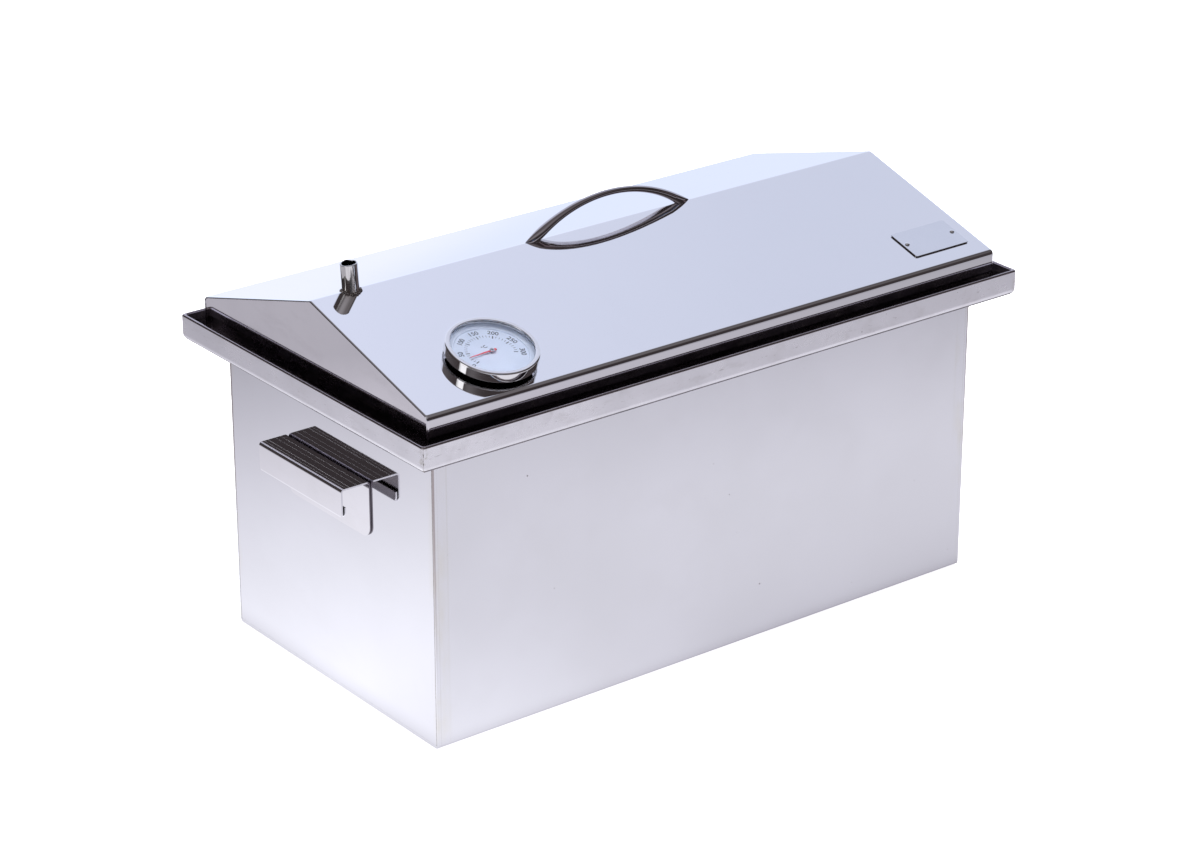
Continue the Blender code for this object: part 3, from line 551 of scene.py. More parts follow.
def handleMarks(tree, place):
    # painted highlights: thin bright lines along the grip; painted shade in the crease at the wall
    # and on the cut ends of the flange
    x, y, z = axes(tree, place)
    out = maths(tree, "SUBTRACT", maths(tree, "ABSOLUTE", x), halfLength)
    # painted highlights: four thin bright lines on the grip's top
    highlightLines = [maths(tree, "MULTIPLY", line(tree, out, at, 0.00042), strength)
             for at, strength in ((0.0066, 0.62), (0.0112, 0.45), (0.0174, 0.72), (0.0205, 0.42))]
    total = highlightLines[0]
    for extra in highlightLines[1:]:
        total = maths(tree, "MAXIMUM", total, extra)
    top = ramp(tree, z, 0.1795, 0.1808)
    # painted shade in the crease where the grip meets the wall
    creaseShade = maths(tree, "MULTIPLY", ramp(tree, out, 0.0030, 0.0016), ramp(tree, z, 0.1770, 0.1790))
    # painted shade on the flange faces that turn along the wall, picked by their facing
    facing = axes(tree, addNode(tree, "NewGeometry").outputs["Normal"])[1]
    edgeShade = ramp(tree, maths(tree, "ABSOLUTE", facing), 0.35, 0.75)
    edgeShade = maths(tree, "MULTIPLY", edgeShade, ramp(tree, out, 0.0030, 0.0018))
    return [(maths(tree, "MULTIPLY", total, top), (0.80, 0.79, 0.81), 0.35, 0.000001, 0.75),
            (maths(tree, "MULTIPLY", creaseShade, 0.9), (0.17, 0.15, 0.19), 0.03, 0.0, 0.0),
            (maths(tree, "MULTIPLY", edgeShade, 0.9), (0.13, 0.11, 0.13), 0.10, 0.0, 0.0)]


handleSteel = steelFinish("handleSteel", handleLook, handleMarks)
# painted shade: a dark copy of the handle's steel for the faces inside the handle's hollow
handleShadeLook = dict(handleLook, colour=(0.20, 0.185, 0.20), cloudColour=(0.13, 0.12, 0.13), smear=0.6,
                  smearColour=(0.30, 0.27, 0.26), roughness=0.14)
handleInsideShade = steelFinish("handleInsideShade", handleShadeLook)

# painted shade: the lid handle's bow is a darker copy of the roof's steel
barLook = dict(roofLook, colour=(0.50, 0.465, 0.48), cloudColour=(0.45, 0.415, 0.43), roughness=0.06,
               roughSpread=0.04, smear=0.3, smearColour=(0.46, 0.43, 0.44), smearRough=0.08,
               cloudScale=40.0, grainScale=(60, 2600, 2600), grainDepth=0.0000016,
               scratchScale=(20, 2200, 2200), scratchTurn=(0, 0, 0), scratchRough=0.12,
               scratchDepth=0.0000016, speckScale=300.0, speckCut=0.97, speckSize=0.08, swellDepth=0.0)
barSteel = steelFinish("barSteel", barLook)

# painted shade: the tube's steel is darkened below the roof's
tubeLook = dict(barLook, colour=(0.78, 0.765, 0.76), cloudColour=(0.73, 0.71, 0.70), roughness=0.045,
                smearColour=(0.66, 0.64, 0.64), grainScale=(2400, 2400, 160),
                scratchScale=(1600, 1600, 30), cloudScale=60.0)


def tubeMarks(tree, place):
    # brown heat tint close to the weld at the tube's foot
    x, y, z = axes(tree, place)
    foot = ramp(tree, z, ridgeLevel + 0.005, ridgeLevel - 0.001)
    return [(maths(tree, "MULTIPLY", foot, 0.45), (0.42, 0.36, 0.30), 0.12, 0.0, 0.0)]


tubeSteel = steelFinish("tubeSteel", tubeLook, tubeMarks)
weldLook = dict(channelLook, colour=(0.34, 0.31, 0.30), cloudColour=(0.20, 0.18, 0.17), roughness=0.26,
                roughSpread=0.18, cloudScale=420.0, smearColour=(0.5, 0.45, 0.38), speckDark=0.3,
                grainScale=(1500, 1500, 1500), grainDepth=0.00003)
weldSteel = steelFinish("weldSteel", weldLook)

bezelLook = dict(roofLook, colour=(0.86, 0.85, 0.85), cloudColour=(0.84, 0.83, 0.83), roughness=0.03,
                 roughSpread=0.03, smear=0.3, smearColour=(0.76, 0.74, 0.72), cloudScale=55.0,
                 speckScale=260.0, speckCut=0.95, speckSize=0.08, swellDepth=0.0)
bezelSteel = steelFinish("bezelSteel", bezelLook)
wireLook = dict(channelLook, colour=(0.68, 0.67, 0.68), cloudColour=(0.60, 0.59, 0.60), roughness=0.24,
                grainScale=(900, 900, 900), grainDepth=0.000003, cloudScale=60.0)
wireSteel = steelFinish("wireSteel", wireLook)
trayLook = dict(wallLook, roughness=0.26, cloudScale=12.0, smear=0.5)
traySteel = steelFinish("traySteel", trayLook)
badgeLook = dict(roofLook, colour=(0.84, 0.85, 0.875), cloudColour=(0.82, 0.83, 0.86), roughness=0.10,
                 roughSpread=0.05, cloudScale=45.0, grainScale=(60, 3000, 3000), grainDepth=0.0000006,
                 speckScale=300.0, speckCut=0.94, speckSize=0.10)
badgeSteel = steelFinish("badgeSteel", badgeLook)


def paintFinish(name, colour, other, roughness, scale=300.0, depth=0.000002):
    # fine-grained paint: colour drifts a little and the film has a slight orange peel
    material, tree, output, place = startMaterial(name)
    drift = ramp(tree, noise(tree, place, scale * 0.2, detail=3.0), 0.3, 0.7)
    peel = noise(tree, place, scale * 6, detail=2.0)
    rough = maths(tree, "MULTIPLY_ADD", drift, 0.10, roughness)
    bump = addNode(tree, "Bump", {"Height": maths(tree, "MULTIPLY", peel, depth), "Distance": 1.0})
    shader = addNode(tree, "BsdfPrincipled", {"Base Color": mixColour(tree, drift, colour, other),
                                              "Roughness": rough, "Normal": bump.outputs[0]})
    tree.links.new(shader.outputs[0], output.inputs[0])
    return material


dialPaint = paintFinish("dialPaint", (0.60, 0.66, 0.80), (0.64, 0.70, 0.84), 0.42)
dialInk = paintFinish("dialInk", (0.030, 0.036, 0.055), (0.045, 0.052, 0.075), 0.5)
pointerRed = paintFinish("pointerRed", (0.78, 0.075, 0.085), (0.70, 0.06, 0.07), 0.36)


def glassFinish(name, mirrors):
    # thin clear glass with faint wipe marks. Only the face that mirrors gets a mirrored share, which
    # grows at a slant
    material, tree, output, place = startMaterial(name)
    wipe = ramp(tree, noise(tree, place, 45.0, (1, 0.3, 1), (0, 0, 0.6), detail=5.0), 0.5, 0.75)
    haze = mixColour(tree, wipe, (0.975, 0.98, 0.985), (0.95, 0.96, 0.97))
    shader = addNode(tree, "BsdfTransparent", {"Color": haze})
    if mirrors:
        rough = maths(tree, "MULTIPLY_ADD", wipe, 0.10, 0.01)
        mirror = addNode(tree, "BsdfGlossy", {"Color": (1, 1, 1, 1), "Roughness": rough})
        share = addNode(tree, "Fresnel", {"IOR": 1.45}).outputs[0]
        shader = addNode(tree, "MixShader", {0: share, 1: shader.outputs[0], 2: mirror.outputs[0]})
    tree.links.new(shader.outputs[0], output.inputs[0])
    return material


lensGlass = glassFinish("lensGlass", True)
lensUnder = glassFinish("lensUnder", False)
print("finishes made")


boxSizes = {"wall": 0.0015, "bend": 0.0030, "gap": 0.0003, "edge": 0.00035}
wall = boxSizes["wall"]
inset = halfDepth - wall / 2
shellPath = roundedPath([(-inset, boxHeight), (-inset, wall / 2), (inset, wall / 2), (inset, boxHeight)],
                        boxSizes["bend"] - wall / 2)
bentSheet("boxShell", shellPath, wall, halfLength, lambda p: p, [wallSteel], "box", ["body_shell"],
          bevel=boxSizes["edge"])


def slab(outline, levels):
    # one flat outline at two levels, joined round its edge and closed at both
    count = len(outline)
    heights = np.array(levels, float)[:, None, None]
    points = np.concatenate([np.broadcast_to(outline, (2, count, 2)),
                             np.broadcast_to(heights, (2, count, 1))], axis=-1)
    faces = gridQuads(2, count, closeCols=True).tolist()
    faces += [list(range(count)), list(range(count, 2 * count))]
    return points, faces


def endPlate(name, outline, xInner, xOuter, finish, body, nodes, bevel):
    # a flat upright plate: its outline is (y, z), so the slab's third number becomes x
    points, faces = slab(outline, (xInner, xOuter))
    points = np.roll(points, 1, axis=-1)
    return softenEdges(newPiece(name, points, faces, finish, body, nodes), bevel)


inner = halfDepth - wall - boxSizes["gap"]
floorUp = wall + boxSizes["gap"]
panelOutline = roundedPath([(-inner, boxHeight), (-inner, floorUp), (inner, floorUp), (inner, boxHeight)],
                           boxSizes["bend"] - floorUp, support=0.0002)
for side, sign in (("left", -1), ("right", 1)):
    endPlate(f"{side}EndPanel", panelOutline, sign * (halfLength - wall), sign * halfLength, panelSteel,
             "box", [f"{side}_end_panel"], boxSizes["edge"])

# seam welds fill the slot between the shell's ends and the end panels
seamSizes = {"radius": 0.00055, "waver": 0.12, "drift": 0.00006, "start": 0.004, "stop": 0.018}
seamRise = np.linspace(seamSizes["start"], boxHeight - seamSizes["stop"], 260)
seamOut = halfDepth - wall - boxSizes["gap"] / 2
seamParts = []
for seed, (sx, sy) in enumerate(((-1, -1), (-1, 1), (1, -1), (1, 1))):
    waver = lumps(seamRise * 260, seed, 12)
    seamPath = np.stack([np.full_like(seamRise, sx * (halfLength - seamSizes["radius"])),
                         sy * seamOut + seamSizes["drift"] * waver, seamRise], axis=-1)
    seamParts.append(ropeMesh(seamPath, seamSizes["radius"] * (1 + seamSizes["waver"] * waver) * 0.9, 8,
                              up=(1, 0, 0)))
seamPoints, seamFaces = joined(seamParts)
newPiece("seamWelds", seamPoints, seamFaces, weldSteel, "box")

# along the floor the same slot is closed by a weld that has been ground flush with the end panel
footSizes = {
    "low": 0.0009, "high": 0.0027, "deep": 0.0008, "proud": 0.00004, "short": 0.0006,
    "lowWaver": 0.00008, "highWaver": 0.00015,
}


def footWeld(sign, seed):
    # a flat-faced strip: its lower and upper edge waver along the panel's foot
    run = np.linspace(footSizes["short"] - halfDepth, halfDepth - footSizes["short"], 240)
    low = footSizes["low"] + footSizes["lowWaver"] * lumps(run * 240, seed, 12)
    high = footSizes["high"] + footSizes["highWaver"] * lumps(run * 170, seed + 1, 12)
    near, far = halfLength - footSizes["deep"], halfLength + footSizes["proud"]
    x = np.broadcast_to(sign * np.array([near, far, far, near]), (len(run), 4))
    y = np.broadcast_to(run[:, None], (len(run), 4))
    z = np.stack([low, low, high, high], axis=-1)
    faces = gridQuads(len(run), 4, closeCols=True).tolist()
    faces += [[0, 1, 2, 3], [4 * len(run) - 4 + i for i in range(4)]]
    return np.stack([x, y, z], axis=-1).reshape(-1, 3), faces


footPoints, footFaces = joined([footWeld(-1, 5), footWeld(1, 8)])
newPiece("footWelds", footPoints, footFaces, panelSteel, "box")
print("box made")


channelSizes = {
    "sheet": 0.0010, "bend": 0.0055, "fold": 0.0009, "hem": 0.006, "corner": 0.0024, "gap": 0.0003,
    "seam": 0.00003,
}


def channelStrip(side):
    # the channel's section carried along one wall and round half of each corner. A point that lies out
    # from the wall turns the corner on an arc whose radius grows with how far out it lies
    sheet = channelSizes["sheet"]
    near, far = channelSizes["gap"] + sheet / 2, channelReach - sheet / 2
    floor, rim = channelLevel + sheet / 2, rimLevel - sheet / 2
    hem = far - 2 * channelSizes["fold"]
    bends = [2 * sheet, channelSizes["bend"] - sheet / 2, channelSizes["fold"], channelSizes["fold"]]
    path = roundedPath([(near, boxHeight), (near, floor), (far, floor), (far, rim), (hem, rim),
                        (hem, rim - channelSizes["hem"])], bends, steps=12)
    section = sheetSection(path, sheet)
    out, up = section[:, 0], section[:, 1]
    radius = 0.0002 + (channelSizes["corner"] - 0.0002) * np.clip(out / channelReach, 0, 1)
    arc = np.linspace(0, math.pi / 4, 9)[:, None]
    reach = wallHalf[side] + out - radius
    cornerAlong = reach + radius * np.sin(arc)
    cornerAlong[-1] -= channelSizes["seam"]
    cornerOut = out - radius + radius * np.cos(arc)
    along = np.vstack([-cornerAlong[::-1], -reach + 0.004, reach - 0.004, cornerAlong])
    outward = np.vstack([cornerOut[::-1], out, out, cornerOut])
    points = onWall(side)(np.stack([along, outward, np.broadcast_to(up, along.shape)], axis=-1))
    rows, cols = along.shape
    faces = sectionFaces(rows, cols)
    # the faces that look into the trough get a near-black finish: painted shade
    nextOut = (out + np.roll(out, -1)) / 2
    nextUp = (up + np.roll(up, -1)) / 2
    inTrough = (nextOut < hem + 0.0006) & (nextUp < rimLevel - 0.0009) & (nextUp > channelLevel + 0.0006)
    inTrough |= (nextOut < far - 0.0001) & (nextOut > hem) & (nextUp < rimLevel - 0.0016)
    outer = (nextOut > far + 0.0001) | (nextUp < channelLevel + 0.0004)
    inShade = (inTrough & ~outer).astype(int)
    dark = np.concatenate([np.tile(inShade, rows - 1), np.zeros(2 * (cols // 2 - 1), int)])
    return newPiece(f"{side}Channel", points, faces, [channelSteel, channelInsideShade], "box",
                    [f"channel_{side}"], faceFinish=dark)


for side in wallTurns:
    channelStrip(side)

# a ground weld bead stands on each outer corner, from the rim down to the bend
beadSizes = {"radius": 0.00042, "sink": 0.00030, "drift": 0.00022, "swell": 0.35}
beadParts = []
for seed, (sx, sy) in enumerate(((-1, -1), (-1, 1), (1, -1), (1, 1))):
    bendSteps = np.linspace(0, 1.25, 16)
    straight = np.linspace(rimLevel - 0.0012, channelLevel + channelSizes["bend"], 60)
    bendUp = channelLevel + channelSizes["bend"] * (1 - np.sin(bendSteps))
    bendOut = channelReach - channelSizes["bend"] * (1 - np.cos(bendSteps))
    out = np.concatenate([np.full_like(straight, channelReach), bendOut[1:]])
    up = np.concatenate([straight, bendUp[1:]])
    pull = channelSizes["corner"] * (1 - math.cos(math.pi / 4)) * out / channelReach + beadSizes["sink"]
    waver = lumps(np.linspace(0, 9, len(up)), seed + 10, 12)
    swell = lumps(np.linspace(0, 9, len(up)), seed + 30, 14)
    beadPath = np.stack([sx * (halfLength + out - pull + beadSizes["drift"] * waver),
                         sy * (halfDepth + out - pull - beadSizes["drift"] * waver), up], axis=-1)
    beadRadius = beadSizes["radius"] * (1 + beadSizes["swell"] * swell)
    beadParts.append(ropeMesh(beadPath, beadRadius, 10, up=(sx, -sy, 0.0)))
beadPoints, beadFaces = joined(beadParts)
newPiece("channelCornerWelds", beadPoints, beadFaces, weldSteel, "box")
print("water channel made")


sideHandleSizes = {
    "sheet": 0.0012, "width": 0.106, "reach": 0.025, "flange": 0.0446, "lip": 0.0225, "bend": 0.0025,
    "flangeCorner": 0.009, "lipCorner": 0.0045, "gap": 0.0003, "edge": 0.00022,
}


def sideHandle(side):
    # the handle's section with its half width worked out along the path: full, less what a quarter
    # circle takes off near the flange's foot and near the lip's fold
    s = sideHandleSizes
    top = boxOf(f"{side}_handle")[1][2]
    sheet = s["sheet"]
    near, far = s["gap"] + sheet / 2, s["reach"] - sheet / 2
    fold = 1.1 * sheet
    lipLow = top - s["lip"] + sheet / 2
    hem = far - 2 * fold
    path = roundedPath([(near, top - s["flange"]), (near, top - sheet / 2), (far, top - sheet / 2),
                        (far, lipLow), (hem, lipLow), (hem, lipLow + s["lip"] / 3)],
                       [s["bend"] - sheet / 2] * 2 + [fold] * 2, steps=12)
    whole = np.linalg.norm(np.diff(path, axis=0), axis=1).sum()
    foldAt = whole - s["lip"] / 3 - fold * 0.3
    extra = np.concatenate([s["flangeCorner"] * (1 - np.cos(np.linspace(0, math.pi / 2, 16))),
                            foldAt - s["lipCorner"] * np.linspace(0, 1, 14),
                            foldAt + 0.004 * np.linspace(0, 1, 6)])
    path, along = withStations(path, extra)
    foot = np.clip(s["flangeCorner"] - along, 0, None)
    cut = s["flangeCorner"] - np.sqrt(np.clip(s["flangeCorner"] ** 2 - foot ** 2, 0, None))
    tip = np.clip(s["lipCorner"] - np.abs(along - foldAt), 0, None)
    cut = cut + s["lipCorner"] - np.sqrt(np.clip(s["lipCorner"] ** 2 - tip ** 2, 0, None))
    middle = (path[1:] + path[:-1]) / 2
    beyond = (along[1:] + along[:-1]) / 2 > whole - s["lip"] / 3 - fold
    inside = (middle[:, 0] > s["gap"] + s["bend"] + 0.001) & (middle[:, 1] > lipLow + 0.001) & ~beyond
    # the faces inside the hollow take the painted-shade finish
    hidden = (beyond, inside)
    return bentSheet(f"{side}Handle", path, sheet, s["width"] / 2 - cut, onWall(side),
                     [handleSteel, handleInsideShade], "box", [f"{side}_handle"], s["edge"],
                     hidden)


for side in ("left", "right"):
    sideHandle(side)
print("side handles made")


ledgeSizes = {"leg": 0.015, "reach": 0.012, "halfLength": 0.105, "gap": 0.0003}
for tier in ("lower", "upper"):
    for side in ("left", "right"):
        level = boxOf(f"{tier}_ledge_{side}")[1][2]
        back = -wall - ledgeSizes["gap"] - wall / 2
        ledgePath = roundedPath([(back, level - ledgeSizes["leg"]), (back, level - wall / 2),
                                 (back - ledgeSizes["reach"], level - wall / 2)], wall, steps=8)
        bentSheet(f"{tier}{side.title()}Ledge", ledgePath, wall, ledgeSizes["halfLength"], onWall(side),
                  [traySteel], "box", [f"{tier}_ledge_{side}"])

grateSizes = {"rod": 0.005, "wire": 0.003, "corner": 0.014, "pitch": 0.024}


def grate(tier):
    # a rod ring on a rounded rectangle, cross wires welded through its middle, and a bulge at each weld
    low, high = boxOf(f"{tier}_grate")
    rod = grateSizes["rod"]
    halfX, halfY = high[0] - rod / 2, high[1] - rod / 2
    z = (low[2] + high[2]) / 2
    ring = roundedPath([(0, -halfY), (halfX, -halfY), (halfX, halfY), (-halfX, halfY), (-halfX, -halfY),
                        (0, -halfY)], grateSizes["corner"], steps=12, support=0.001)[:-1]
    ring = np.column_stack([ring, np.full(len(ring), z)])
    parts = [ropeMesh(ring, rod / 2, 20, closed=True)]
    count = int((2 * halfX - 2 * grateSizes["corner"]) / grateSizes["pitch"])
    reach = np.concatenate([-np.linspace(halfY, halfY - 0.006, 7), [0.0],
                            np.linspace(halfY - 0.006, halfY, 7)])
    swell = 1 + 0.35 * np.exp(-((halfY - rod / 2 - np.abs(reach)) / 0.0012) ** 2)
    for index in range(count + 1):
        x = (index - count / 2) * grateSizes["pitch"]
        wirePath = np.stack([np.full_like(reach, x), reach, np.full_like(reach, z)], axis=-1)
        parts.append(ropeMesh(wirePath, grateSizes["wire"] / 2 * swell, 12))
    points, faces = joined(parts)
    return newPiece(f"{tier}Grate", points, faces, wireSteel, f"{tier}_grate", [f"{tier}_grate"])


for tier in ("lower", "upper"):
    grate(tier)

traySizes = {"sheet": 0.0010, "corner": 0.004, "bend": 0.002}


def dripTray():
    # a pan: the wall's section (in, up) carried round a rounded rectangle. One many-sided face closes
    # the middle of the floor above, and one below
    low, high = boxOf("drip_tray")
    t = traySizes["sheet"]
    path = roundedPath([(0.03, low[2] + t / 2), (t / 2, low[2] + t / 2), (t / 2, high[2])],
                       traySizes["bend"], steps=8)
    section = sheetSection(path, t)
    turn = np.linspace(0, 2 * math.pi, 96, endpoint=False)
    quarters = np.radians([0.01, 89.99, 90.01, 179.99, 180.01, 269.99, 270.01, 359.99])
    turn = np.sort(np.concatenate([turn, quarters]))
    inward, up = section[:, 0], section[:, 1]
    radius = np.clip(traySizes["corner"] - inward, 0.0005, None)[None]
    sx, sy = np.sign(np.cos(turn))[:, None], np.sign(np.sin(turn))[:, None]
    x = sx * (high[0] - inward - radius) + radius * np.cos(turn)[:, None]
    y = sy * (high[1] - inward - radius) + radius * np.sin(turn)[:, None]
    points = np.stack([x, y, np.broadcast_to(up, x.shape)], axis=-1)
    rows, cols = x.shape
    faces = gridQuads(rows, cols, closeRows=True, closeCols=False).tolist()
    firstRing = [row * cols for row in range(rows)]
    lastRing = [row * cols + cols - 1 for row in range(rows)]
    faces += [firstRing, lastRing[::-1]]
    return newPiece("dripTray", points, faces, traySteel, "tray", ["drip_tray"])


dripTray()
legSizes = {"sheet": 0.0010, "width": 0.018}
for side in ("left", "right"):
    legLow, legHigh = boxOf(f"drip_tray_leg_{side}")
    t = legSizes["sheet"]
    foot, head = legLow[2] + t / 2, legHigh[2] - t / 2
    far, near = legHigh[1] - t / 2, legHigh[1] - t / 2 - legSizes["width"] / 2
    legPath = roundedPath([(-near, foot), (-far, foot), (-far, head), (far, head), (far, foot),
                           (near, foot)], 2 * t, steps=8)
    middle = (legLow[0] + legHigh[0]) / 2
    bentSheet(f"{side}TrayLeg", legPath, t, legSizes["width"] / 2,
              lambda p, m=middle: p + np.array([m, 0, 0]), [traySteel], "tray",
              [f"drip_tray_leg_{side}"])
print("inside made")


def cutRound(piece, centre, radius, depth):
    # takes a round hole out of a piece, through a boolean whose result becomes the piece's mesh
    bm = bmesh.new()
    bmesh.ops.create_cone(bm, cap_ends=True, segments=64, radius1=radius, radius2=radius, depth=depth)
    cutterMesh = bpy.data.meshes.new("cutter")
    bm.to_mesh(cutterMesh)
    bm.free()
    cutter = bpy.data.objects.new("cutter", cutterMesh)
    bpy.context.scene.collection.objects.link(cutter)
    cutter.location = centre
    boolean = piece.modifiers.new("Hole", "BOOLEAN")
    boolean.operation = "DIFFERENCE"
    boolean.solver = "EXACT"
    boolean.object = cutter
    bpy.context.view_layer.update()
    evaluated = piece.evaluated_get(bpy.context.evaluated_depsgraph_get())
    holed = bpy.data.meshes.new_from_object(evaluated)
    piece.modifiers.remove(boolean)
    piece.data = holed
    holed.set_sharp_from_angle(angle=math.radians(32))
    bpy.data.objects.remove(cutter, do_unlink=True)


def roof():
    # skirt, two slopes and skirt: one bent section carried along the lid
    sheet = lidSizes["sheet"]
    fall = math.tan(pitch)
    y = lidHalfDepth - sheet / 2
    peak = lidSizes["ridgeLevel"] - sheet / 2 / math.cos(pitch)
    path = roundedPath([(-y, skirtLevel), (-y, peak - y * fall), (0, peak), (y, peak - y * fall),
                        (y, skirtLevel)], lidSizes["bend"] - sheet / 2, steps=14)
    # each end is ground round: the outer face sinks along a quarter ellipse twice as long as it is deep
    turn = np.linspace(0, math.pi / 2, 7)
    sink = lidSizes["endRound"] * (1 - np.cos(turn))
    stop = lidHalfLength - 2 * lidSizes["endRound"] * (1 - np.sin(turn))
    sink = np.concatenate([sink[::-1], [0, 0], sink])
    stop = np.concatenate([-stop[::-1], [0.0022 - lidHalfLength, lidHalfLength - 0.0022], stop])
    sections = np.stack([sheetSection(path, sheet / 2 - low, sheet / 2) for low in sink])
    across = np.broadcast_to(stop[:, None], sections.shape[:2])
    points = np.concatenate([across[..., None], sections], axis=-1)
    rows, cols = across.shape
    faces = sectionFaces(rows, cols)
    piece = newPiece("roofSheet", points, faces, roofSteel, "lid", ["lid_roof"])
    tubeLow, tubeHigh = boxOf("smoke_tube")
    tubeX = (tubeLow[0] + tubeHigh[0]) / 2
    cutRound(piece, (tubeX, 0, ridgeLevel), (tubeHigh[0] - tubeLow[0]) / 2 + 0.0002, 0.03)
    return piece


roof()
gableInset = lidSizes["sheet"] + lidSizes["gap"]
gableY = lidHalfDepth - gableInset
gablePeak = lidSizes["ridgeLevel"] - gableInset / math.cos(pitch)
gableEave = gablePeak - gableY * math.tan(pitch)
gableOutline = roundedPath([(-gableY, skirtLevel), (-gableY, gableEave), (0, gablePeak), (gableY, gableEave),
                            (gableY, skirtLevel)], lidSizes["bend"] - gableInset, steps=10)
for side in ("left", "right"):
    gableLow, gableHigh = boxOf(f"lid_gable_{side}")
    xs = (gableHigh[0], gableLow[0]) if side == "left" else (gableLow[0], gableHigh[0])
    endPlate(f"{side}Gable", gableOutline, xs[0], xs[1], gableSteel, "lid", [f"lid_gable_{side}"],
             0.0002)

handleSizes = {
    "centre": 0.0028, "halfSpan": 0.0695, "rise": 0.0223, "width": 0.0058, "height": 0.0046, "flare": 1.85,
}


def lidHandle():
    # an oval section carried along an arc over the ridge, growing towards its feet. It ends where its
    # top meets the ridge, what would pass under the roof is laid on the roof's face, and its width goes
    # with the square root of what is left above it, so each foot ends in a leaf-shaped point
    s = handleSizes
    radius = (s["halfSpan"] ** 2 + s["rise"] ** 2) / (2 * s["rise"])
    centre = lidSizes["ridgeLevel"] + s["rise"] - radius
    big = s["height"] * s["flare"]
    seat = lidSizes["ridgeLevel"] + 0.0001
    spread = math.acos((seat - centre) / (radius + big / 2))
    share = np.sin(np.linspace(-math.pi / 2, math.pi / 2, 241))[:, None]
    angle = share * spread
    size = 1 + (s["flare"] - 1) * np.abs(share) ** 2.5
    crest = centre + (radius + s["height"] / 2 * size) * np.cos(angle)
    left = np.clip((crest - seat) / big, 0, 1)
    turn = np.linspace(0, 2 * math.pi, 48, endpoint=False)[None]
    out = radius + np.sin(turn) * s["height"] / 2 * size
    y = np.cos(turn) * s["width"] / 2 * size * np.sqrt(left) * np.ones_like(angle)
    x = s["centre"] + out * np.sin(angle)
    z = np.maximum(centre + out * np.cos(angle), roofLevel(y) + 0.0001)
    rows, cols = x.shape
    faces = gridQuads(rows, cols, closeCols=True).tolist()
    faces += [list(range(cols)), list(range((rows - 1) * cols, rows * cols))]
    return newPiece("lidHandle", np.stack([x, y, z], axis=-1), faces, barSteel, "lid", ["lid_handle"],
                    smooth=60.0)


lidHandle()

tubeSizes = {"wall": 0.0011, "drop": 0.008, "lean": math.radians(-3.0), "bead": 0.0011}
tubeLow, tubeHigh = boxOf("smoke_tube")
tubeRadius = (tubeHigh[1] - tubeLow[1]) / 2
tubeX = (tubeLow[0] + tubeHigh[0]) / 2
tubeLean = tubeSizes["lean"]
tubePlace = np.array([[math.cos(tubeLean), 0, math.sin(tubeLean), tubeX], [0, 1, 0, 0],
                      [-math.sin(tubeLean), 0, math.cos(tubeLean), ridgeLevel], [0, 0, 0, 1]])


def tubeWobble(turn, radius, height):
    # the sawn mouth is a little uneven and the tube very slightly out of round
    top = height.max()
    share = np.clip(height / top, 0, 1)
    return radius * (1 + 0.006 * np.cos(2 * turn + 0.5)), height - share * 0.0004 * (1 + lumps(turn, 3, 6))


tubeMiddle = (tubeRadius, 0.0)
tubeInner = tubeRadius - tubeSizes["wall"]
tubeRise = tubeHigh[2] - ridgeLevel
tubeProfile = roundedPath([tubeMiddle, (tubeRadius, tubeRise), (tubeInner, tubeRise),
                           (tubeInner, -tubeSizes["drop"]), (tubeRadius, -tubeSizes["drop"]), tubeMiddle],
                          0.0004, steps=5, support=0.0001)[:-1]
turnedPiece("smokeTube", tubeProfile, tubePlace, tubeSteel, "lid", ["smoke_tube"], wobble=tubeWobble,
            steps=128)

beadTurn = np.linspace(0, 2 * math.pi, 220, endpoint=False)
beadReach = tubeRadius + 0.0003 + 0.00035 * lumps(beadTurn, 21, 14)
beadY = beadReach * np.sin(beadTurn)
beadRing = np.stack([tubeX + beadReach * np.cos(beadTurn), beadY, roofLevel(beadY) + 0.0002], axis=-1)
beadPoints, beadFaces = ropeMesh(beadRing, tubeSizes["bead"] * (1 + 0.42 * lumps(beadTurn * 3, 22, 10)), 12,
                                 closed=True)
newPiece("tubeWeld", beadPoints, beadFaces, weldSteel, "lid", smooth=70)
print("lid made")


badgeSizes = {"size": (0.053, 0.031), "sheet": 0.0008, "corner": 0.0015, "seat": 0.0003,
              "rivetHead": 0.0018, "rivetDome": 0.0009, "rivetShank": 0.0011}
badgeLow, badgeHigh = boxOf("badge_plate")
badgeCentre = (badgeLow + badgeHigh) / 2
badgeMiddle = badgeSizes["seat"] + badgeSizes["sheet"] / 2
badgePlace = slopePlace(badgeCentre[0], badgeCentre[1] + math.sin(pitch) * badgeMiddle)
halfX, halfY = badgeSizes["size"][0] / 2, badgeSizes["size"][1] / 2
badgeOutline = roundedPath([(0, -halfY), (halfX, -halfY), (halfX, halfY), (-halfX, halfY), (-halfX, -halfY),
                            (0, -halfY)], badgeSizes["corner"], steps=8)[:-1]


def badgePlate():
    # the outline at the plate's underside and top, with softened edges
    seat = badgeSizes["seat"]
    points, faces = slab(badgeOutline, (seat, seat + badgeSizes["sheet"]))
    piece = newPiece("badgePlate", placed(points, badgePlace), faces, badgeSteel, "lid", ["badge_plate"])
    return softenEdges(piece, 0.00018)


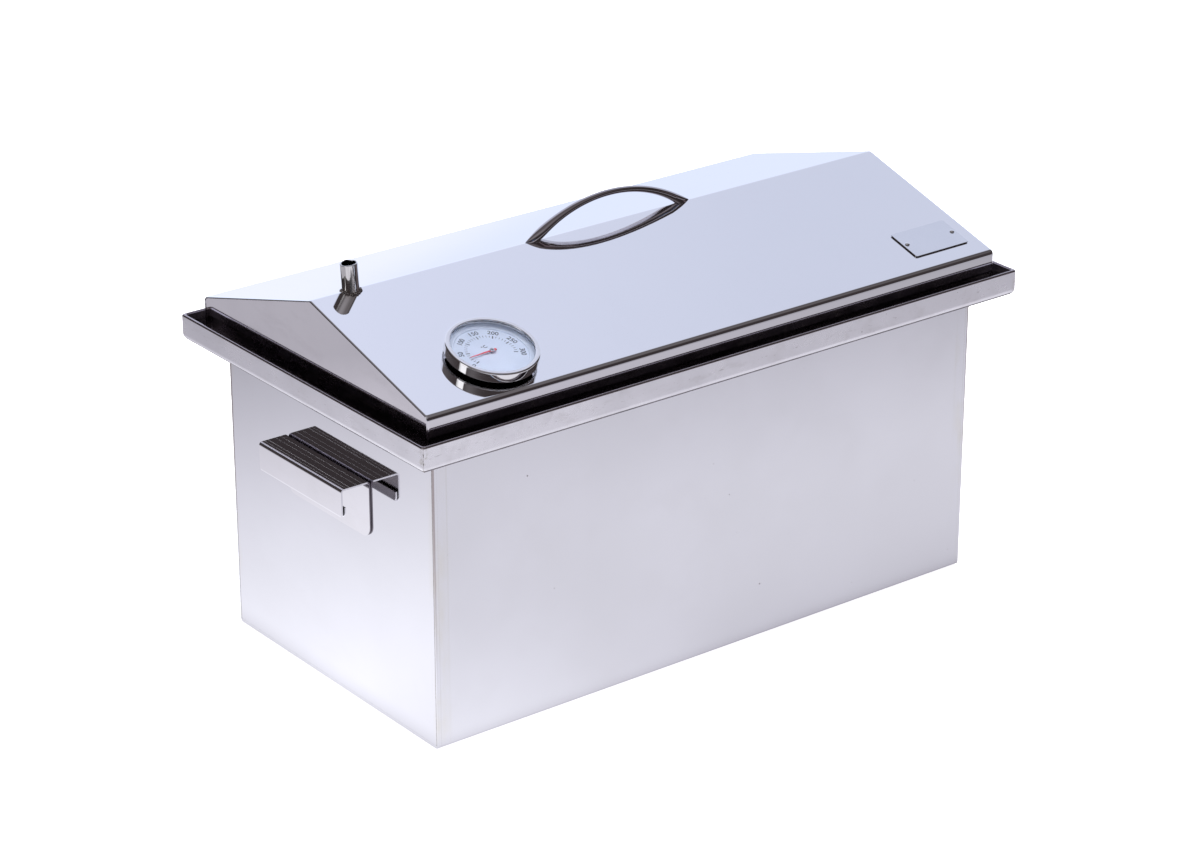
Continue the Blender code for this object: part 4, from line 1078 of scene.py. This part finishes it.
badgePlate()
for side, sign in (("left", -1), ("right", 1)):
    rivetLow, rivetHigh = boxOf(f"badge_rivet_{side}")
    rivetPlace = badgePlace.copy()
    rivetPlace[0, 3] = (rivetLow[0] + rivetHigh[0]) / 2
    arc = np.linspace(math.pi / 2, 0, 12)
    head, dome = badgeSizes["rivetHead"], badgeSizes["rivetDome"]
    seat = badgeSizes["seat"] * 2 + badgeSizes["sheet"]
    under = -lidSizes["sheet"] - lidSizes["gap"]
    top = np.stack([head * np.cos(arc), seat + dome * np.sin(arc)], axis=-1)
    bottom = np.stack([head * np.cos(arc[::-1]), under - dome * np.sin(arc[::-1])], axis=-1)
    shank = [(badgeSizes["rivetShank"], seat), (badgeSizes["rivetShank"], under)]
    turnedPiece(f"{side}BadgeRivet", np.vstack([top, shank, bottom]), rivetPlace, bezelSteel, "lid",
                [f"badge_rivet_{side}"], steps=48, closed=False)
print("badge made")


dialSizes = {
    "radius": 0.0338, "top": 0.0108, "bottom": 0.0033, "lip": 0.0036, "sheet": 0.0009, "face": 0.0050,
    "faceSheet": 0.0006, "lens": 0.0014, "gap": 0.0003, "case": 0.0008, "needle": 0.0064,
    "needleSheet": 0.0004, "needleLength": 0.0190, "needleTail": 0.0042, "rest": math.radians(183.0),
    "crown": 0.00008, "lensEdge": 0.0002, "boss": 0.0076, "pinHole": 0.0007,
}
scaleSizes = {
    "zero": 202.0, "full": -22.0, "most": 300, "tickOuter": 0.0192, "minor": 0.0022, "major": 0.0031,
    "minorWidth": 0.00034, "majorWidth": 0.00080, "figureRing": 0.0226, "figureHeight": 0.0040,
    "bold": 0.00007, "print": 0.00004,
}
bezelLow, bezelHigh = boxOf("thermometer_bezel")
bezelCentre = (bezelLow + bezelHigh) / 2
midway = (dialSizes["top"] + dialSizes["bottom"]) / 2
dialPlace = slopePlace(bezelCentre[0], bezelCentre[1] + math.sin(pitch) * midway)


def bezel():
    # a rolled ring: a flat-topped front edge that curves into the side wall and in over the glass
    d = dialSizes
    outer, inner, lip = d["radius"], d["radius"] - d["sheet"], d["radius"] - d["lip"]
    start = (outer, (d["top"] + d["bottom"]) / 2)
    profile = roundedPath([start, (outer, d["top"]), (lip, d["top"]), (lip, d["top"] - d["sheet"]),
                           (inner, d["top"] - d["sheet"]), (inner, d["bottom"]),
                           (outer, d["bottom"]), start],
                          [0.0012, 0.00055, 0.0003, 0.0003, 0.0004, 0.0004], steps=10, support=0.0001)[:-1]
    # the flat of the front edge falls a little away from its middle
    onFlat = profile[:, 1] > d["top"] - 0.0002
    middle = (outer + lip) / 2
    crown = 1 - ((profile[:, 0] - middle) / (d["lip"] / 2)) ** 2
    profile[:, 1] -= onFlat * (1 - np.clip(crown, 0, 1)) * d["crown"]
    return turnedPiece("bezel", profile, dialPlace, bezelSteel, "lid", ["thermometer_bezel"], steps=288)


bezel()
inner = dialSizes["radius"] - dialSizes["sheet"]
lensTop = dialSizes["top"] - dialSizes["sheet"] - dialSizes["gap"]
lensRadius = inner - dialSizes["gap"]
lensLow = lensTop - dialSizes["lens"]
lensEdge = dialSizes["lensEdge"]
lensFlat = lensRadius - lensEdge
lensProfile = [(0, lensTop), (0.012, lensTop), (lensFlat, lensTop), (lensRadius, lensTop - lensEdge),
               (lensRadius, lensLow + lensEdge), (lensFlat, lensLow), (0.012, lensLow), (0, lensLow)]
turnedPiece("lens", lensProfile, dialPlace, [lensGlass, lensUnder], "lid", ["thermometer_lens"],
            steps=192, closed=False, second=[0, 0, 0, 1, 1, 1, 1])

caseOuter = inner - dialSizes["gap"]
caseInner = caseOuter - dialSizes["case"]
caseRim = lensLow - dialSizes["gap"]
caseFloor = dialSizes["bottom"] + dialSizes["case"]
caseBack, caseSeat = dialSizes["bottom"], dialSizes["gap"]
caseProfile = roundedPath([(0, caseFloor), (caseInner, caseFloor), (caseInner, caseRim),
                           (caseOuter, caseRim), (caseOuter, caseBack), (dialSizes["boss"], caseBack),
                           (dialSizes["boss"], caseSeat), (0, caseSeat)], 0.0003, steps=5, support=0.0001)
turnedPiece("dialCase", caseProfile, dialPlace, bezelSteel, "lid", ["thermometer_case"], steps=192,
            closed=False)

dialRadius = caseInner - dialSizes["gap"]
face, faceLow = dialSizes["face"], dialSizes["face"] - dialSizes["faceSheet"]
# a shallow step runs round the dial outside its figures, and its rim is turned up to meet the case
dialProfile = [(dialSizes["pinHole"], face), (0.0262, face), (0.0266, face + 0.0001),
               (0.0268, face + 0.0006), (0.0272, face + 0.0008), (dialRadius - 0.0012, face + 0.0008),
               (dialRadius, face + 0.0016), (dialRadius, faceLow), (dialSizes["pinHole"], faceLow)]
turnedPiece("dial", dialProfile, dialPlace, dialPaint, "lid", ["thermometer_dial"], steps=224,
            smooth=50)


def dialTicks():
    # each tick is a thin box: its two ends lie at the inner and outer radius along the tick's angle
    s = scaleSizes
    value = np.arange(0, s["most"] + 1, 10)
    major = value % 50 == 0
    angle = np.radians(s["zero"] + (s["full"] - s["zero"]) * value / s["most"])
    outer = np.full(len(value), s["tickOuter"])
    innerEnd = outer - np.where(major, s["major"], s["minor"])
    half = np.where(major, s["majorWidth"], s["minorWidth"]) / 2
    along = np.stack([innerEnd, innerEnd, outer, outer] * 2, axis=-1)
    across = np.stack([-half, half, half, -half] * 2, axis=-1)
    up = np.array([face + 0.00001] * 4 + [face + s["print"]] * 4)
    cos, sin = np.cos(angle)[:, None], np.sin(angle)[:, None]
    points = np.stack([along * cos - across * sin, along * sin + across * cos,
                       np.broadcast_to(up, along.shape)], axis=-1)
    cube = np.array([[3, 2, 1, 0], [4, 5, 6, 7], [0, 1, 5, 4], [1, 2, 6, 5], [2, 3, 7, 6], [3, 0, 4, 7]])
    faces = (cube[None] + 8 * np.arange(len(value))[:, None, None]).reshape(-1, 4)
    return points.reshape(-1, 3), faces.tolist()


def printedText(text, height, ring, angle, spread=1.0):
    # text as a thin solid, set on the dial at a ring radius with its head pointing outwards
    curve = bpy.data.curves.new("print", "FONT")
    curve.body = text
    curve.align_x = "CENTER"
    curve.align_y = "CENTER"
    curve.size = height * 1.38
    curve.extrude = scaleSizes["print"] / 2
    curve.resolution_u = 4
    curve.offset = scaleSizes["bold"]
    curve.space_character = spread
    thing = bpy.data.objects.new("print", curve)
    bpy.context.scene.collection.objects.link(thing)
    bpy.context.view_layer.update()
    evaluated = thing.evaluated_get(bpy.context.evaluated_depsgraph_get())
    mesh = bpy.data.meshes.new_from_object(evaluated)
    bm = bmesh.new()
    bm.from_mesh(mesh)
    bmesh.ops.remove_doubles(bm, verts=bm.verts, dist=1e-7)
    bm.to_mesh(mesh)
    bm.free()
    co = np.empty(len(mesh.vertices) * 3)
    mesh.vertices.foreach_get("co", co)
    co = co.reshape(-1, 3)
    turn = angle - math.pi / 2
    cos, sin = math.cos(turn), math.sin(turn)
    x = co[:, 0] * cos - co[:, 1] * sin + ring * math.cos(angle)
    y = co[:, 0] * sin + co[:, 1] * cos + ring * math.sin(angle)
    faces = [list(polygon.vertices) for polygon in mesh.polygons]
    bpy.data.objects.remove(thing, do_unlink=True)
    return np.stack([x, y, co[:, 2] + face + scaleSizes["print"] / 2 + 0.00001], axis=-1), faces


printParts = [dialTicks()]
for value in range(0, scaleSizes["most"] + 1, 50):
    sweep = (scaleSizes["full"] - scaleSizes["zero"]) * value / scaleSizes["most"]
    angle = math.radians(scaleSizes["zero"] + sweep)
    printParts.append(printedText(str(value), scaleSizes["figureHeight"], scaleSizes["figureRing"], angle))
printParts.append(printedText("°C", 0.0030, 0.0068, math.radians(104), 1.05))
printPoints, printFaces = joined(printParts)
newPiece("dialPrint", placed(printPoints, dialPlace), printFaces, dialInk, "lid")


def needle():
    # a tapered blade, a small hub and a broader round-ended tail, drawn along the first axis and
    # turned to where the pointer rests
    d = dialSizes
    hub, tip, root, tail = 0.0018, 0.00022, 0.00072, 0.00105
    away = math.asin(root / hub)
    back = math.pi - math.asin(tail / hub)
    upper = np.linspace(away, back, 16)
    upper = np.stack([hub * np.cos(upper), hub * np.sin(upper)], axis=-1)
    end = np.linspace(math.pi / 2, -math.pi / 2, 10)
    end = np.stack([-d["needleTail"] + tail * (1 - np.cos(end)), tail * np.sin(end)], axis=-1)
    reach = d["needleLength"]
    outline = np.vstack([[(reach, -tip), (reach + 0.0001, 0), (reach, tip)], upper, end,
                         upper[::-1] * (1, -1)])
    half = d["needleSheet"] / 2
    points, faces = slab(outline, (d["needle"] - half, d["needle"] + half))
    cos, sin = math.cos(d["rest"]), math.sin(d["rest"])
    x, y = points[..., 0], points[..., 1]
    turned = np.stack([x * cos - y * sin, x * sin + y * cos, points[..., 2]], axis=-1)
    piece = newPiece("needle", placed(turned, dialPlace), faces, pointerRed, "pointer",
                     ["thermometer_pointer"])
    return softenEdges(piece, 0.00006)


needle()
capSeat = dialSizes["needle"] + dialSizes["needleSheet"] / 2 + dialSizes["gap"]
capTop = lensLow - dialSizes["gap"]
capRadius, capLow = 0.0019, capSeat - 0.00015
arc = np.linspace(math.pi / 2, 0, 16)
capDome = np.stack([capRadius * np.cos(arc), capSeat + (capTop - capSeat) * np.sin(arc)], axis=-1)
capProfile = np.vstack([capDome, [(capRadius, capLow), (0.0004, capLow), (0, capLow)]])
turnedPiece("needleCap", capProfile, dialPlace, bezelSteel, "pointer", ["pointer_cap"], steps=64,
            closed=False)

stemSizes = {"radius": 0.0030, "thread": 0.0038, "threadLength": 0.012, "length": 0.058, "pitch": 0.0010,
             "depth": 0.00035}


def threadWobble(turn, radius, height):
    # the thread: a ridge that climbs one pitch for each turn
    phase = (height / stemSizes["pitch"] - turn / (2 * math.pi)) % 1.0
    ridge = np.abs(phase - 0.5) * 2
    threaded = (radius > stemSizes["radius"] + 0.0001) & (height < -0.0015)
    return radius - threaded * stemSizes["depth"] * ridge, height


stemRadius, stemEnd, threadEnd = stemSizes["radius"], -stemSizes["length"], -stemSizes["threadLength"]
threadStops = np.linspace(0, threadEnd, 160)
threadWall = np.stack([np.full(160, stemSizes["thread"]), threadStops], axis=-1)
stemProfile = np.vstack([[(0, 0)], threadWall,
                         [(stemRadius, threadEnd - 0.0002), (stemRadius, stemEnd + 0.0012),
                          (stemRadius * 0.9, stemEnd + 0.0006), (stemRadius * 0.6, stemEnd + 0.0002),
                          (0, stemEnd)]])
turnedPiece("thermometerStem", stemProfile, dialPlace, bezelSteel, "lid", ["thermometer_stem"], steps=48,
            closed=False, wobble=threadWobble, smooth=50)

washerOuter, washerHole, washerSheet = 0.0085, 0.0041, 0.0012
washerSeat = -lidSizes["sheet"] - lidSizes["gap"]
washerLow = washerSeat - washerSheet
washerStart = (washerOuter, (washerSeat + washerLow) / 2)
washerProfile = roundedPath([washerStart, (washerOuter, washerSeat), (washerHole, washerSeat),
                             (washerHole, washerLow), (washerOuter, washerLow), washerStart],
                            0.0002, steps=4, support=0.0001)[:-1]
turnedPiece("stemWasher", washerProfile, dialPlace, wireSteel, "lid", ["thermometer_washer"],
            steps=96)


nutSizes = {"flat": 0.0065, "corner": 0.0075, "hole": 0.0042, "height": 0.0050, "chamfer": 0.0008}


def nutWobble(turn, radius, height):
    # six flats: the outer radius follows a hexagon, and the corners are chamfered at both faces
    part = (turn + math.pi / 6) % (math.pi / 3) - math.pi / 6
    hexagon = nutSizes["flat"] / np.cos(part)
    fromFace = np.minimum(height.max() - height, height - height.min())
    chamfer = nutSizes["corner"] - np.clip(nutSizes["chamfer"] - fromFace, 0, None)
    outside = radius > 0.0050
    return np.where(outside, np.minimum(hexagon, chamfer), radius), height


nutTop = washerLow - lidSizes["gap"]
nutLow = nutTop - nutSizes["height"]
nutSteps = np.array([0, 0.04, 0.08, 0.12, 0.16, 0.2, 0.8, 0.84, 0.88, 0.92, 0.96, 1])
nutStops = nutTop - nutSizes["height"] * nutSteps
nutWall = np.stack([np.full(12, nutSizes["corner"]), nutStops], axis=-1)
nutProfile = np.vstack([nutWall, [(nutSizes["hole"], nutLow), (nutSizes["hole"], nutTop)]])
turnedPiece("stemNut", nutProfile, dialPlace, wireSteel, "lid", ["thermometer_nut"],
            steps=144, wobble=nutWobble)
print("thermometer made")


studio = {
    "dark": (0.050, 0.041, 0.043),
    "backLow": (0.86, 0.93, 1.12), "backHigh": (0.67, 0.71, 0.87),
    "backAxis": (0.55, 0.75, 0.35), "backInner": 38.0, "backOuter": 46.0,
    "keyPower": 95.0, "fillPower": 26.0, "floorGlow": 0.75,
    "pool": {"left": 1.24, "leftFall": 1.12, "leftLeast": 0.51, "front": 0.825, "frontFall": 0.38,
             "frontLeast": 0.45, "sideFall": 1.15, "corner": 0.20, "contact": 0.15, "farther": 0.16,
             "back": 0.75},
    "clothLeft": (0.93, 0.965, 1.12), "clothRight": (0.80, 0.87, 1.09),
}


def greyOf(tree, value):
    # a number as a colour whose three parts are equal
    return addNode(tree, "CombineColor", {0: value, 1: value, 2: value}).outputs[0]


def studioWorld():
    # a dark room with a large pale cloth behind on the right, a few strip lights, and soft cards above,
    # ahead and aloft on the left, all set by direction
    world = bpy.data.worlds.new("studio")
    bpy.context.scene.world = world
    world.use_nodes = True
    tree = world.node_tree
    tree.nodes.clear()
    way = addNode(tree, "TexCoord").outputs["Generated"]
    x, y, z = axes(tree, way)
    axis = np.array(studio["backAxis"]) / np.linalg.norm(studio["backAxis"])
    facing = addNode(tree, "VectorMath", {0: way, 1: tuple(axis)}, operation="DOT_PRODUCT").outputs["Value"]
    back = ramp(tree, facing, math.cos(math.radians(studio["backOuter"])),
                math.cos(math.radians(studio["backInner"])))
    cloth = mixColour(tree, ramp(tree, z, 0.0, 0.75), studio["backLow"], studio["backHigh"])
    aside = ramp(tree, x, 0.48, 0.64, 1.17, 0.96)
    cloth = mixColour(tree, 1.0, cloth, greyOf(tree, aside), "MULTIPLY")
    colour = mixColour(tree, back, studio["dark"], cloth)
    flat = addNode(tree, "VectorMath", {0: addNode(tree, "CombineXYZ", {0: x, 1: y}).outputs[0]},
                   operation="NORMALIZE").outputs[0]

    def strip(colourNow, towards, halfWidth, low, high, shade):
        # an upright strip light: as wide as its angle round a heading, between two heights of direction,
        # fading over two degrees at each side
        soft = 2.0
        length = math.hypot(*towards)
        aim = (towards[0] / length, towards[1] / length, 0)
        near = addNode(tree, "VectorMath", {0: flat, 1: aim}, operation="DOT_PRODUCT").outputs["Value"]
        wide = ramp(tree, near, math.cos(math.radians(halfWidth + soft)), math.cos(math.radians(halfWidth)))
        tall = maths(tree, "MULTIPLY", ramp(tree, z, low - 0.05, low), ramp(tree, z, high + 0.05, high))
        return mixColour(tree, maths(tree, "MULTIPLY", wide, tall), colourNow, shade)

    colour = strip(colour, (-0.98, 0.04), 9.0, -0.5, 0.62, (1.2, 1.2, 1.23))
    colour = strip(colour, (-0.42, -0.91), 3.0, -0.10, 0.22, (0.10, 0.17, 0.30))
    colour = strip(colour, (-0.16, -0.98), 2.2, -0.12, 0.16, (0.13, 0.22, 0.38))
    colour = strip(colour, (0.90, -0.42), 5.5, 0.02, 0.34, (0.20, 0.165, 0.18))
    above = ramp(tree, z, 0.62, 0.95)
    colour = mixColour(tree, maths(tree, "MULTIPLY", above, 0.35), colour, (0.42, 0.40, 0.43))
    ahead = maths(tree, "MULTIPLY", ramp(tree, y, -0.15, -0.55), ramp(tree, z, 0.42, 0.72))
    colour = mixColour(tree, maths(tree, "MULTIPLY", ahead, 0.22), colour, (0.52, 0.49, 0.52))
    aloft = maths(tree, "MULTIPLY", ramp(tree, x, 0.30, -0.55), ramp(tree, z, 0.35, 0.80))
    aloft = maths(tree, "MULTIPLY", aloft, ramp(tree, y, 0.05, -0.45))
    colour = mixColour(tree, maths(tree, "MULTIPLY", aloft, 0.55), colour, (0.58, 0.56, 0.60))
    seen = addNode(tree, "LightPath").outputs["Is Camera Ray"]
    colour = mixColour(tree, seen, colour, (1.0, 1.0, 1.0))
    shader = addNode(tree, "Background", {"Color": colour, "Strength": 1.0})
    output = tree.nodes.new("ShaderNodeOutputWorld")
    tree.links.new(shader.outputs[0], output.inputs[0])


def studioFloor():
    # a wide sheet, white to the eye. What the steel mirrors instead is a glow that falls with distance
    # on the left and ahead, is even behind, and turns into the pale cloth far back
    mesh = bpy.data.meshes.new("floor")
    reach = 9.0
    mesh.from_pydata([(-reach, -reach, 0), (reach, -reach, 0), (reach, reach, 0), (-reach, reach, 0)], [],
                     [(0, 1, 2, 3)])
    floor = bpy.data.objects.new("floor", mesh)
    bpy.context.scene.collection.objects.link(floor)
    floor.location.z = -0.0004
    material, tree, output, place = startMaterial("floorPaper")
    x, y, z = axes(tree, place)
    p = studio["pool"]
    aside = maths(tree, "SUBTRACT", maths(tree, "MULTIPLY", x, -1.0), halfLength)
    distance = maths(tree, "SQRT", maths(tree, "ADD", maths(tree, "POWER", aside, 2.0),
                                         maths(tree, "POWER", y, 2.0)))
    farLeft = ramp(tree, distance, 1.5, 1.05)
    leftPool = maths(tree, "MAXIMUM", maths(tree, "MULTIPLY_ADD", distance, -p["leftFall"], p["left"]),
                     p["leftLeast"])
    leftPool = maths(tree, "MULTIPLY", leftPool, maths(tree, "MULTIPLY_ADD", farLeft, 0.94, 0.06))
    ahead = maths(tree, "SUBTRACT", maths(tree, "MULTIPLY", y, -1.0), halfDepth)
    near = maths(tree, "MAXIMUM", ahead, 0.0)
    beyond = maths(tree, "MAXIMUM", maths(tree, "SUBTRACT", ahead, 0.22), 0.0)
    fall = maths(tree, "MULTIPLY_ADD", maths(tree, "MAXIMUM", x, 0.0), p["sideFall"], p["frontFall"])
    frontPool = maths(tree, "SUBTRACT", p["front"], maths(tree, "MULTIPLY", beyond, fall))
    corner = maths(tree, "ADD", maths(tree, "POWER", maths(tree, "ADD", x, halfLength), 2.0),
                   maths(tree, "POWER", near, 2.0))
    corner = maths(tree, "EXPONENT", maths(tree, "MULTIPLY", corner, -44.0))
    frontPool = maths(tree, "MULTIPLY_ADD", corner, p["corner"], frontPool)
    contact = maths(tree, "MULTIPLY", maths(tree, "EXPONENT", maths(tree, "MULTIPLY", near, -20.0)),
                    ramp(tree, x, -0.12, 0.12))
    frontPool = maths(tree, "MULTIPLY_ADD", contact, -p["contact"], frontPool)
    farther = maths(tree, "MULTIPLY", ramp(tree, ahead, 0.44, 0.54), ramp(tree, x, 0.65, 0.05))
    frontPool = maths(tree, "MULTIPLY_ADD", farther, p["farther"], frontPool)
    frontPool = maths(tree, "MAXIMUM", frontPool, p["frontLeast"])
    frontPool = maths(tree, "MULTIPLY", frontPool, ramp(tree, ahead, 1.90, 1.45, 0.12, 1.0))
    onLeft = maths(tree, "MULTIPLY", leftPool, ramp(tree, x, -0.20, -0.27))
    inFront = maths(tree, "MULTIPLY", frontPool, ramp(tree, y, -0.08, -0.15))
    pool = maths(tree, "MAXIMUM", onLeft, inFront)
    elsewhere = maths(tree, "MULTIPLY", maths(tree, "SUBTRACT", 1.0, ramp(tree, x, -0.20, -0.27)),
                      maths(tree, "SUBTRACT", 1.0, ramp(tree, y, -0.08, -0.15)))
    pool = maths(tree, "MAXIMUM", pool, maths(tree, "MULTIPLY", elsewhere, p["back"]))
    tone = mixColour(tree, ramp(tree, pool, 0.45, 1.15), (0.99, 0.965, 1.07), (1.0, 1.0, 1.07))
    grey = mixColour(tree, 1.0, tone, greyOf(tree, pool), "MULTIPLY")
    cloth = mixColour(tree, ramp(tree, x, 1.1, 1.5), studio["clothLeft"], studio["clothRight"])
    far = maths(tree, "MULTIPLY", ramp(tree, y, 1.0, 1.7), ramp(tree, x, -0.3, 0.5))
    grey = mixColour(tree, far, grey, cloth)
    mirror = addNode(tree, "Emission", {"Color": grey, "Strength": 1.0})
    paper = ramp(tree, noise(tree, place, 3.0, detail=4.0), 0.3, 0.7)
    shade = mixColour(tree, paper, (0.90, 0.90, 0.91), (0.92, 0.92, 0.92))
    diffuse = addNode(tree, "BsdfDiffuse", {"Color": shade})
    glow = addNode(tree, "Emission", {"Color": (1, 1, 1, 1), "Strength": studio["floorGlow"]})
    lit = addNode(tree, "AddShader", {0: diffuse.outputs[0], 1: glow.outputs[0]})
    glossy = addNode(tree, "LightPath").outputs["Is Glossy Ray"]
    mixed = addNode(tree, "MixShader", {0: glossy, 1: lit.outputs[0], 2: mirror.outputs[0]})
    tree.links.new(mixed.outputs[0], output.inputs[0])
    mesh.materials.append(material)


def softLight(name, location, target, size, power, colour):
    # a square lamp turned to face its target, itself not seen or mirrored
    lamp = bpy.data.lights.new(name, "AREA")
    lamp.shape = "SQUARE"
    lamp.size = size
    lamp.energy = power
    lamp.color = colour
    light = bpy.data.objects.new(name, lamp)
    bpy.context.scene.collection.objects.link(light)
    away = np.array(location, float) - np.array(target, float)
    light.location = location
    light.rotation_euler = (math.acos(away[2] / np.linalg.norm(away)), 0,
                            math.atan2(away[1], away[0]) + math.pi / 2)
    light.visible_glossy = False
    light.visible_camera = False


studioWorld()
studioFloor()
softLight("keyLight", (0.6, 0.4, 2.2), (0, 0, 0), 2.6, studio["keyPower"], (1.0, 1.0, 1.0))
softLight("fillLight", (-1.8, -1.6, 1.4), (0, 0, 0.1), 1.8, studio["fillPower"], (0.97, 0.98, 1.0))

cameraSizes = {
    "location": (-1.54852, -2.00463, 1.23903), "azimuth": -37.597, "elevation": 23.464,
    "lens": 109.21, "sensor": 36.0,
}
cameraData = bpy.data.cameras.new("camera")
cameraData.lens = cameraSizes["lens"]
cameraData.sensor_width = cameraSizes["sensor"]
cameraData.sensor_fit = "HORIZONTAL"
cameraData.clip_start = 0.05
cameraData.clip_end = 40.0
camera = bpy.data.objects.new("camera", cameraData)
bpy.context.scene.collection.objects.link(camera)
camera.location = cameraSizes["location"]
tilt = math.radians(90.0 - cameraSizes["elevation"])
camera.rotation_euler = (tilt, 0.0, math.radians(cameraSizes["azimuth"]))
bpy.context.scene.camera = camera
bpy.context.scene.view_settings.view_transform = "Standard"
print("studio made")

bpy.context.view_layer.update()
